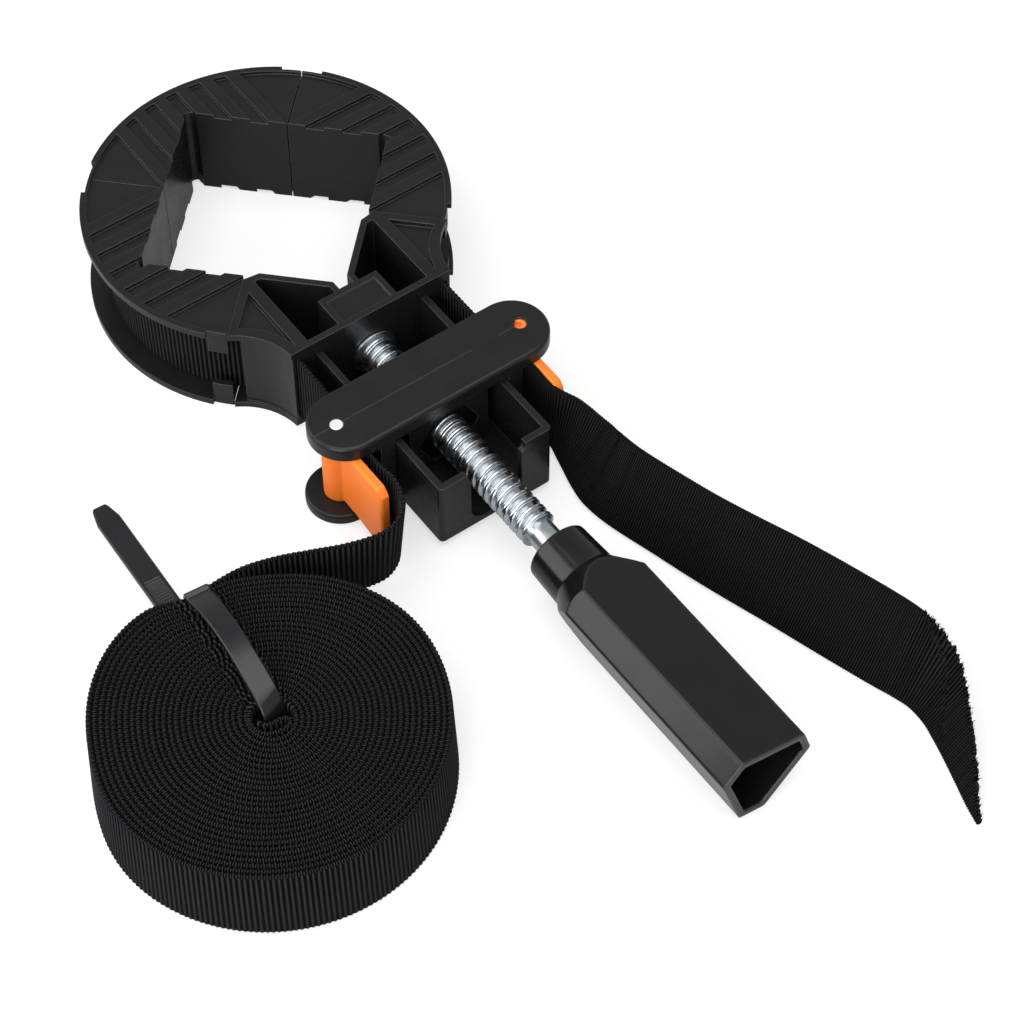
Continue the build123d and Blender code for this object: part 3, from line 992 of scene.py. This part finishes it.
@dataclass
class CamLevers:
    """The two orange cam levers."""

    rounding: float = 1.0

    def build(self, finishes: Finishes) -> list[bpy.types.Object]:
        """Model the levers.

        Args:
            finishes: The clamp's finishes.

        Returns:
            The left and the right lever.
        """
        made = []
        for side in ("left", "right"):
            node, name, body = "cam_lever_" + side, "orange_lever_" + side, side + "_cam"
            made.append(refine(node, name, finishes.lever, body, self.rounding, 3))
        return made


@dataclass
class Spindle:
    """The rolled screw and its hollow three-sided handle. Lengths along Y, in millimetres."""

    axis_z: float = 14.7
    thread_front: float = -53.8
    thread_back: float = -131.0
    neck_back: float = -155.4
    neck_overlap: float = 1.2
    nose_front: float = -47.1
    nose_overlap: float = 1.0
    pitch: float = 3.0
    steps: int = 40
    neck_radius: float = 4.1
    nose_radius: float = 3.5
    end_rounding: float = 0.3
    handle_rounding: float = 1.1
    # One turn of the rolled ridge, which has two crests: the place along the pitch, and the radius.
    profile: tuple[tuple[float, float], ...] = (
        (0.0, 4.3), (0.25, 4.3), (0.5, 4.5), (0.8, 5.08), (0.97, 5.36), (1.15, 5.44), (1.4, 5.32),
        (1.65, 5.3), (1.9, 5.32), (2.12, 5.44), (2.3, 5.36), (2.5, 5.0), (2.78, 4.45),
    )

    def thread(self) -> bpy.types.Object:
        """Sweep one turn's profile into the thread and cut its ends square.

        Returns:
            The threaded length of the screw.
        """
        length = self.thread_front - self.thread_back
        bpy.ops.mesh.primitive_plane_add(size=MM, calc_uvs=False)
        piece = bpy.context.object
        piece.name = "rolled_screw"
        mesh = piece.data
        mesh.clear_geometry()
        points = [(radius * MM, 0.0, (place - self.pitch) * MM) for place, radius in self.profile]
        points.append((self.profile[0][1] * MM, 0.0, 0.0))
        mesh.from_pydata(points, [(i, i + 1) for i in range(len(points) - 1)], [])
        use_modifier(
            piece,
            "SCREW",
            axis="Z",
            angle=2 * math.pi,
            screw_offset=self.pitch * MM,
            iterations=math.ceil(length / self.pitch) + 2,
            steps=self.steps,
            render_steps=self.steps,
            use_merge_vertices=True,
            merge_threshold=0.002 * MM,
        )
        edit_all(piece)
        bpy.ops.mesh.remove_doubles(threshold=0.003 * MM)
        for level, upper in ((0.0, False), (length, True)):
            bpy.ops.mesh.select_all(action="SELECT")
            bpy.ops.mesh.bisect(
                plane_co=(0, 0, level * MM),
                plane_no=(0, 0, 1),
                use_fill=True,
                clear_inner=not upper,
                clear_outer=upper,
                threshold=0.0005 * MM,
            )
        face_outwards(piece)
        # The thread stands up +Z from its rear end: lay it along +Y.
        lay(piece, -90, "X", (0, self.thread_back, self.axis_z))
        return piece

    def rod(self, name: str, radius: float, front: float, back: float) -> bpy.types.Object:
        """Turn a plain round length of the screw, with rounded ends.

        Args:
            name: The piece's name.
            radius: Its radius.
            front: Its front end along Y.
            back: Its rear end.

        Returns:
            The new piece.
        """
        deselect()
        depth = (front - back) * MM
        bpy.ops.mesh.primitive_cylinder_add(vertices=64, radius=radius * MM, depth=depth, calc_uvs=False)
        piece = bpy.context.object
        piece.name = name
        lay(piece, 90, "X", (0, (front + back) / 2, self.axis_z))
        sharp = math.radians(40)
        use_modifier(
            piece, "BEVEL", width=self.end_rounding * MM, segments=3, limit_method="ANGLE", angle_limit=sharp
        )
        return piece

    def build(self, finishes: Finishes) -> list[bpy.types.Object]:
        """Model the screw and the handle.

        Args:
            finishes: The clamp's finishes.

        Returns:
            The screw and the handle.
        """
        screw = self.thread()
        neck = self.rod("neck", self.neck_radius, self.thread_back + self.neck_overlap, self.neck_back)
        nose = self.rod("nose", self.nose_radius, self.nose_front, self.thread_front - self.nose_overlap)
        join((neck, nose, screw), screw)
        bpy.ops.object.shade_smooth_by_angle(angle=math.radians(35))
        fit(screw, finishes.zinc, "spindle", "screw")
        handle = refine("handle", "hollow_handle", finishes.grip, "spindle", self.handle_rounding, 4, 24.0)
        return [screw, handle]


@dataclass(frozen=True)
class RingLength:
    """One length of the ring's webbing, which crosses the seam between two bodies.

    The seam's place and the way on across it are given as signs of x and y.
    """

    name: str
    plan: Route
    bodies: tuple[str, str]
    seam: tuple[int, int]
    onward: tuple[int, int]
    rests_on: tuple[str, str]
    nodes: tuple[str, ...]


@dataclass
class RingWebbing:
    """The webbing round the jaws and through the head, in lengths that meet at the jaws' middles."""

    radius: float = 45.9
    bottom: float = 2.1
    seam: float = 32.46
    spread: float = 1.6
    head_leg: Route = (
        (24.0, -53.0), (24.0, -49.5), (24.15, -46.0), (25.0, -42.2), (26.7, -38.9), (29.2, -35.9),
    )

    def lengths(self) -> tuple[RingLength, ...]:
        """The four lengths, right round from the head's right leg, and then the left leg's.

        Returns:
            The lengths in the order they are made.
        """
        leg = flowing([*self.head_leg, *arc(self.radius, -45, -40, 2.5)])
        right = leg + arc(self.radius, -39, 0)
        left = [(-x, y) for x, y in right]
        return (
            RingLength(
                "webbing_head_to_right", right, ("head", "right_jaw"), (1, -1), (1, 1),
                ("moulded_head", "corner_jaw_right"), ("band_head_right",),
            ),
            RingLength(
                "webbing_right_to_far", arc(self.radius, 0, 90), ("strap_right", "far_jaw"), (1, 1), (-1, 1),
                ("corner_jaw_right", "corner_jaw_far"), ("band_jaw_right",),
            ),
            RingLength(
                "webbing_far_to_left", arc(self.radius, 90, 180), ("far_jaw", "left_jaw"), (-1, 1), (-1, -1),
                ("corner_jaw_far", "corner_jaw_left"), ("band_jaw_far",),
            ),
            RingLength(
                "webbing_head_to_left", left, ("head", "left_jaw"), (-1, -1), (-1, 1),
                ("moulded_head", "corner_jaw_left"), ("band_jaw_left", "band_head_left"),
            ),
        )

    def build(self, finishes: Finishes) -> list[bpy.types.Object]:
        """Weave the four lengths.

        Args:
            finishes: The clamp's finishes.

        Returns:
            The four lengths.
        """
        made = []
        for length in self.lengths():
            strap = Webbing(length.name, [(x, y, self.bottom) for x, y in length.plan])
            piece = strap.make()
            dress(piece, finishes.webbing)
            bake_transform(piece)
            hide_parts(*length.nodes)
            made.append(piece)
        return made


@dataclass
class RunWebbing:
    """The two short runs of webbing between the head and the carriage."""

    front: Point = (24.0, -53.0, 2.1)
    back: Point = (24.3, -70.0, 1.5)
    leaves_head: float = -53.5
    meets_carriage: float = -69.0

    def build(self, finishes: Finishes) -> list[bpy.types.Object]:
        """Weave the runs.

        Args:
            finishes: The clamp's finishes.

        Returns:
            The right and the left run.
        """
        made = []
        for side, sign in (("right", 1.0), ("left", -1.0)):
            strap = Webbing("webbing_run_" + side, [(sign * x, y, z) for x, y, z in (self.front, self.back)])
            piece = strap.make()
            dress(piece, finishes.webbing)
            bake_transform(piece)
            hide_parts("band_run_" + side)
            made.append(piece)
        return made


@dataclass
class StoredWebbing:
    """The spare webbing on the left: past the cam, round the blade's tip and into the flat coil."""

    centre: tuple[float, float] = (-93.74, -144.5)
    hub: tuple[float, float] = (-92.9, -144.8)
    rim: float = 47.0
    thick: float = 1.46
    start_angle: float = 85.0
    whole_turns: int = 26
    turn_step: float = 3.5
    last_radius: float = 5.6
    hub_stretch: float = 0.1
    hub_reach: float = 8.0
    flare: float = 2.7
    floor_gap: float = 0.2
    tie_centre: tuple[float, float] = (-91.9, -145.2)
    tie_angle: float = 84.8
    tie_lift: float = 1.4
    tie_reach: float = 6.0
    tie_ramp: float = 1.6
    # Where the coil isn't round: the angle, the width in degrees, and how far the turns stand in or out.
    dents: tuple[Point, ...] = (
        (85.0, 9.0, -3.2), (62.0, 20.0, -1.3), (112.0, 18.0, 0.7), (157.0, 20.0, -1.2), (8.0, 25.0, 1.1),
    )
    # The inner end's plan, from the hub.
    inner_end: Route = (
        (5.3, 2.4), (4.2, 4.5), (2.2, 5.8), (0.0, 6.1), (-2.4, 5.6), (-4.4, 4.1), (-5.4, 2.0),
        (-5.5, -0.2), (-4.9, -2.0), (-3.5, -3.4), (-1.4, -4.2), (0.8, -4.4), (2.5, -4.0), (3.2, -2.9),
        (2.4, -1.8), (0.8, -1.4), (-1.0, -1.3), (-2.5, -0.85), (-3.5, 0.2), (-3.85, 1.6),
    )
    grip: Route = ((-24.3, -70.0), (-24.3, -85.3), (-26.4, -89.6), (-26.6, -94.0))
    lead: Route = (
        (-26.7, -97.5, 1.5, 1.0, 1.0), (-27.0, -101.0, 1.5, 2.5, 1.0), (-28.7, -105.6, 1.5, 4.0, 1.0),
        (-31.6, -109.3, 1.5, 5.5, 1.0), (-36.0, -111.3, 1.3, 6.0, 1.0), (-41.0, -111.0, 1.1, 6.0, 1.0),
        (-48.2, -109.1, 0.8, 5.0, 1.0), (-56.6, -106.1, 0.4, 3.0, 1.0), (-66.0, -103.3, 0.2, 0.5, 1.0),
        (-76.0, -101.9, 0.2, -1.5, 1.0),
    )

    def over_tie(self, x: float, y: float) -> float:
        """How far the webbing's lower edge lifts to clear the tie that runs under the coil.

        Args:
            x: Where the webbing is.
            y: Likewise.

        Returns:
            The lift in millimetres, nothing away from the tie.
        """
        turn = math.radians(self.tie_angle)
        along = (x - self.tie_centre[0]) * math.cos(turn) + (y - self.tie_centre[1]) * math.sin(turn)
        across = abs((y - self.tie_centre[1]) * math.cos(turn) - (x - self.tie_centre[0]) * math.sin(turn))
        rise = max(0.0, min(1.0, (self.tie_reach - across) / self.tie_ramp))
        return self.tie_lift * rise if along > 0 else 0.0

    def coil(self) -> list[tuple[float, ...]]:
        """The spiral's middle line, from the tie round and inwards to the right of the tie's leg.

        Returns:
            Points with their height, lean and share of the width.
        """
        points = []
        total = 360 * self.whole_turns - self.start_angle
        steps = round(total / self.turn_step)
        last = self.last_radius + self.thick / 2
        lean = WEBBING_WIDTH * math.sin(math.radians(self.flare))
        for index in range(steps + 1):
            turn = total * index / steps
            inwards = turn / total
            outer = self.rim + (last - self.rim) * inwards
            angle = self.start_angle + turn
            fade = (outer / self.rim) ** 2
            for place, width, height in self.dents:
                off = (angle - place + 180) % 360 - 180
                outer += fade * height * math.exp(-((off / width) ** 2))
            x = self.centre[0] + (self.hub[0] - self.centre[0]) * inwards
            y = self.centre[1] + (self.hub[1] - self.centre[1]) * inwards
            # The turns don't lie quite level: two slow waves along the webbing.
            wave = 0.1 * math.sin(turn / 47.0) + 0.08 * math.sin(turn / 113.0)
            foot = outer - self.thick / 2 + lean * fade
            stretch = 1 + self.hub_stretch * math.exp((self.last_radius - outer) / self.hub_reach)
            px = x + foot * math.cos(math.radians(angle))
            py = y + foot * math.sin(math.radians(angle)) * stretch
            raised = self.over_tie(px, py)
            share = 1.0 - raised / WEBBING_WIDTH
            points.append((px, py, self.floor_gap + wave + raised, self.flare * fade, share))
        return points

    def folded_end(self) -> list[tuple[float, ...]]:
        """The last turn round the tie's leg and the end, folded back on itself in front of the leg.

        Returns:
            Points with their height, lean and share of the width.
        """
        points = []
        for x, y in self.inner_end:
            px, py = self.hub[0] + x, self.hub[1] + y
            raised = self.over_tie(px, py)
            points.append((px, py, self.floor_gap + raised, 0.0, 1.0 - raised / WEBBING_WIDTH))
        return points

    def build(self, finishes: Finishes) -> list[bpy.types.Object]:
        """Weave the whole length as one piece.

        Args:
            finishes: The clamp's finishes.

        Returns:
            The one piece.
        """
        held = past_cam(self.grip)
        coil = self.coil()
        lead = flowing([held[-1], *self.lead, coil[0]])
        end = flowing([coil[-1], *self.folded_end()])
        route = held[:-1] + lead + coil[1:] + end[1:]
        strap = Webbing("webbing_spare", route, self.thick, rib_depth=0.3, rows=1, jitter=0.03, edge=0.45)
        piece = strap.make()
        fit(piece, finishes.webbing, "slider", "band_grip_left", "webbing_lead", "webbing_coil")
        return [piece]


@dataclass
class TailWebbing:
    """The free end on the right, which leans outwards and is cut to a long ragged point."""

    grip: Route = ((24.3, -70.0), (24.3, -85.3), (26.3, -90.0), (26.5, -93.0))
    stations: Route = (
        (26.5, -98.0, 0.9, 0.0, 1.0), (26.4, -101.6, 0.6, 3.0, 1.0), (25.5, -105.0, 0.4, 11.0, 1.0),
        (24.3, -109.4, 0.4, 17.5, 1.0), (22.5, -116.2, 0.4, 26.0, 1.0), (21.7, -123.0, 0.4, 29.5, 1.0),
        (22.9, -132.4, 0.4, 30.3, 1.0), (27.0, -147.8, 0.4, 30.5, 1.0), (30.0, -159.3, 0.4, 33.0, 1.0),
        (33.4, -170.8, 0.4, 37.0, 1.0), (37.0, -182.3, 0.4, 42.0, 1.0), (41.5, -197.5, 0.4, 46.5, 1.0),
        (46.2, -212.7, 0.4, 44.0, 1.0), (48.8, -220.3, 0.4, 40.0, 0.97), (50.1, -225.5, 0.4, 38.0, 0.87),
        (50.0, -231.0, 0.4, 36.0, 0.73), (48.9, -236.0, 0.4, 34.0, 0.61), (47.0, -242.7, 0.4, 32.0, 0.5),
        (44.6, -250.2, 0.4, 30.0, 0.37), (42.5, -256.7, 0.4, 28.0, 0.21), (41.0, -262.5, 0.4, 26.0, 0.06),
    )
    rib_pitch: float = 0.76
    rib_depth: float = 0.12
    cut_length: float = 46.0

    def build(self, finishes: Finishes) -> list[bpy.types.Object]:
        """Weave the gripped length and the tail as one piece.

        Args:
            finishes: The clamp's finishes.

        Returns:
            The one piece.
        """
        held = past_cam(self.grip)
        route = held[:-1] + flowing([held[-1], *self.stations])
        strap = Webbing(
            "webbing_tail_end", route, rib_pitch=self.rib_pitch, rib_depth=self.rib_depth, frayed=True
        )
        piece = strap.make()
        fit(piece, finishes.fine_webbing, "slider", "band_grip_right", "webbing_tail")
        return [piece]


@dataclass
class CableTie:
    """The black nylon tie: up through the coil's middle, over its top in a low arch, and down to the lock.

    The routes give the distance out from the coil's middle, the height, the width and the skew of the strip.
    """

    centre: Point = (-91.9, -145.2, 0.0)
    angle: float = 84.8
    thick: float = 1.1
    corner: float = 0.28
    loop: Route = (
        (45.7, 5.0, 6.9, 0.0), (45.3, 14.0, 6.9, 0.0), (44.8, 21.5, 6.9, 0.0), (44.5, 24.6, 6.9, 0.0),
        (44.2, 25.8, 6.9, 0.0), (43.7, 26.3, 6.9, 0.0), (43.2, 26.0, 6.9, 0.0), (42.8, 25.8, 6.9, 0.0),
        (41.6, 26.2, 6.8, 0.0), (36.0, 28.7, 6.5, 0.0), (30.0, 30.2, 6.3, 0.0), (24.0, 30.8, 6.2, 0.0),
        (18.0, 30.5, 6.2, 0.0), (12.0, 29.5, 6.3, 0.1), (8.0, 28.5, 6.4, 0.25), (5.0, 27.4, 6.5, 0.4),
        (3.2, 26.4, 6.5, 0.42), (2.0, 25.0, 6.5, 0.3), (1.5, 23.0, 6.4, 0.12), (1.4, 20.0, 6.4, 0.0),
        (1.4, 14.0, 6.4, 0.0), (1.4, 3.0, 6.4, 0.0), (1.7, 1.3, 6.4, 0.0), (3.2, 0.6, 6.4, 0.0),
        (20.0, 0.6, 6.6, 0.0), (43.0, 0.6, 6.9, 0.0), (45.2, 1.4, 6.9, 0.0), (45.7, 3.2, 6.9, 0.0),
        (45.7, 5.0, 6.9, 0.0),
    )
    tail: Route = (
        (0.0, 5.0, 6.85, 0.0), (14.0, 4.95, 6.85, 0.0), (30.0, 4.6, 6.85, 0.0), (46.2, 4.25, 6.85, 0.0),
    )
    tip: Route = ((50.9, 4.2, 4.7, 0.0), (51.6, 4.2, 3.9, 0.0))
    tail_root: tuple[float, float] = (45.5, 2.5)
    tail_turn: float = 2.1
    lock: Point = (6.0, 9.4, 7.6)
    lock_gap: float = 0.6
    lock_level: float = 5.0
    lock_rounding: float = 0.9
    first_groove: float = 2.0
    grooves: int = 23
    fading_grooves: int = 5
    groove_pitch: float = 0.98
    groove_length: float = 0.5
    groove_width: float = 4.5
    groove_depth: float = 0.45
    tail_level: float = 4.95

    def strap(self, name: str, route: Route, closed: bool) -> bpy.types.Object:
        """Sweep the flat strip along a route in the upright plane through its middle.

        Args:
            name: The piece's name.
            route: Distance out, height, width and skew at each point.
            closed: Whether the last point is the first again.

        Returns:
            The new piece, pointing along +X.
        """
        count = len(route) - 1 if closed else len(route)
        corners = []
        for index in range(count):
            x, z, width, skew = route[index]
            before = route[(index - 1) % count] if closed else route[max(index - 1, 0)]
            after = route[(index + 1) % count] if closed else route[min(index + 1, count - 1)]
            along = Vector((after[0] - before[0], 0, after[1] - before[1])).normalized()
            up = Vector((-along.z, 0, along.x))
            half = width / 2
            flat = self.thick / 2
            cut = self.corner
            for across, level in (
                (half, flat - cut),
                (half - cut, flat),
                (cut - half, flat),
                (-half, flat - cut),
                (-half, cut - flat),
                (cut - half, -flat),
                (half - cut, -flat),
                (half, cut - flat),
            ):
                corners.append((Vector((x - skew * across, across, z)) + up * level) * MM)
        faces = []
        for index in range(count if closed else count - 1):
            onward = (index + 1) % count
            for side in range(8):
                after = (side + 1) % 8
                faces.append((index * 8 + side, index * 8 + after, onward * 8 + after, onward * 8 + side))
        if not closed:
            faces.append(tuple(range(8)))
            faces.append(tuple(range(count * 8 - 1, count * 8 - 9, -1)))
        mesh = bpy.data.meshes.new(name)
        mesh.from_pydata(corners, [], faces)
        piece = new_piece(name, mesh)
        face_outwards(piece)
        return piece

    def cut_grooves(self, tail: bpy.types.Object) -> None:
        """Cut the cross grooves of the tail's toothed stretch. The last ones get shallower.

        Args:
            tail: The tail, before it is turned to its place.
        """
        cutters = []
        for index in range(self.grooves):
            depth = self.groove_depth * min(1.0, (self.grooves - index) / self.fading_grooves)
            place = self.first_groove + index * self.groove_pitch
            floor = self.tail_level + self.thick / 2 - depth
            cutters.append(add_block((self.groove_length, self.groove_width, 1.0), (place, 0, floor + 0.5)))
        comb = cutters[0]
        join(cutters, comb)
        use_modifier(tail, "BOOLEAN", operation="DIFFERENCE", solver="EXACT", object=comb)
        bpy.data.objects.remove(comb)

    def build(self, finishes: Finishes) -> list[bpy.types.Object]:
        """Model the loop, the lock and the tail, and join them.

        Args:
            finishes: The clamp's finishes.

        Returns:
            The one piece.
        """
        loop = self.strap("nylon_cable_tie", flowing(self.loop, 0.6), True)
        tail = self.strap("tie_tail", [*flowing(self.tail, 2.0), *self.tip], False)
        self.cut_grooves(tail)
        out, side = self.tail_root
        lay(tail, self.tail_turn, "Z", (out, side, 0))
        lock = add_block(self.lock, (out + self.lock[0] / 2 + self.lock_gap, side / 2, self.lock_level))
        use_modifier(lock, "BEVEL", width=self.lock_rounding * MM, segments=3)
        join((tail, lock, loop), loop)
        lay(loop, self.angle, "Z", self.centre)
        select_only(loop)
        bpy.ops.object.shade_smooth_by_angle(angle=math.radians(40))
        fit(loop, finishes.nylon, "slider", "cable_tie")
        return [loop]


@dataclass
class Studio:
    """A pale floor, soft light and the camera. The camera's aim and distance are in millimetres."""

    target: Point = (4.33, -112.61, 0.0)
    distance: float = 818.74
    azimuth: float = -36.0
    elevation: float = 52.81
    lens: float = 105.36
    sensor: float = 36.0
    floor_size: float = 8.0
    floor_drop: float = 0.00005
    # For each soft box its name, its place and its width in metres, and its power in watts.
    boxes: tuple[tuple[str, Point, float, float], ...] = (
        ("softbox_overhead", (-0.11, -0.265, 1.08), 1.3, 11.0),
        ("softbox_back_left", (-0.82, 0.58, 0.58), 0.9, 5.2),
        ("softbox_front", (-0.98, -0.72, 0.5), 0.8, 9.0),
    )
    lit_point: Point = (0.0, -0.1, 0.0)

    def build(self) -> None:
        """Set the stage."""
        self.floor()
        self.world()
        self.lamps()
        self.camera()

    def floor(self) -> None:
        """Lay the floor."""
        deselect()
        bpy.ops.mesh.primitive_plane_add(size=self.floor_size, location=(0, 0, 0))
        floor = bpy.context.object
        floor.name = "studio_floor"
        floor.data.transform(Matrix.Translation((0, 0, -self.floor_drop)))
        floor.data.materials.append(Paper().make())

    def world(self) -> None:
        """Light the surroundings: pale low down, greyer overhead."""
        world = bpy.data.worlds.new("studio")
        bpy.context.scene.world = world
        world.use_nodes = True
        tree = world.node_tree
        tree.nodes.clear()
        place = add_node(tree, "TexCoord").outputs["Generated"]
        height = add_node(tree, "SeparateXYZ", {}, {"Vector": place}).outputs["Z"]
        fall = {"From Max": 0.65, "To Min": 0.5, "To Max": 0.38}
        ramp = add_node(tree, "MapRange", fall, {"Value": height})
        sky = add_node(tree, "Background", {"Color": (1, 1, 1, 1)}, {"Strength": ramp})
        add_node(tree, "OutputWorld", {}, {"Surface": sky})

    def lamps(self) -> None:
        """Hang the soft boxes."""
        for name, place, size, power in self.boxes:
            lamp = bpy.data.lights.new(name, "AREA")
            lamp.shape = "SQUARE"
            lamp.size = size
            lamp.energy = power
            holder = bpy.data.objects.new(name, lamp)
            bpy.context.scene.collection.objects.link(holder)
            holder.location = place
            aim = Vector(self.lit_point) - Vector(place)
            holder.rotation_euler = aim.to_track_quat("-Z", "Y").to_euler()

    def camera(self) -> None:
        """Point the camera from the photograph's angle."""
        turn = math.radians(self.azimuth)
        rise = math.radians(self.elevation)
        back = Vector((math.sin(turn) * math.cos(rise), -math.cos(turn) * math.cos(rise), math.sin(rise)))
        data = bpy.data.cameras.new("camera")
        data.lens = self.lens
        data.sensor_width = self.sensor
        data.clip_end = 20.0
        camera = bpy.data.objects.new("camera", data)
        bpy.context.scene.collection.objects.link(camera)
        camera.location = (Vector(self.target) + back * self.distance) * MM
        camera.rotation_euler = (-back).to_track_quat("-Z", "Y").to_euler()
        bpy.context.scene.camera = camera
        bpy.context.scene.view_settings.view_transform = "Standard"


def main() -> None:
    """Build the clamp's sub-assemblies in order and report each piece."""
    logging.basicConfig(level=logging.INFO, format="%(message)s")
    Studio().build()
    finishes = Finishes()
    groups = (
        CornerJaws(),
        Head(),
        Carriage(),
        CamLevers(),
        Spindle(),
        RingWebbing(),
        RunWebbing(),
        StoredWebbing(),
        TailWebbing(),
        CableTie(),
    )
    for group in groups:
        for piece in group.build(finishes):
            LOG.info("%s: %d faces", piece.name, len(piece.data.polygons))
    deselect()


if __name__ == "__main__":
    main()
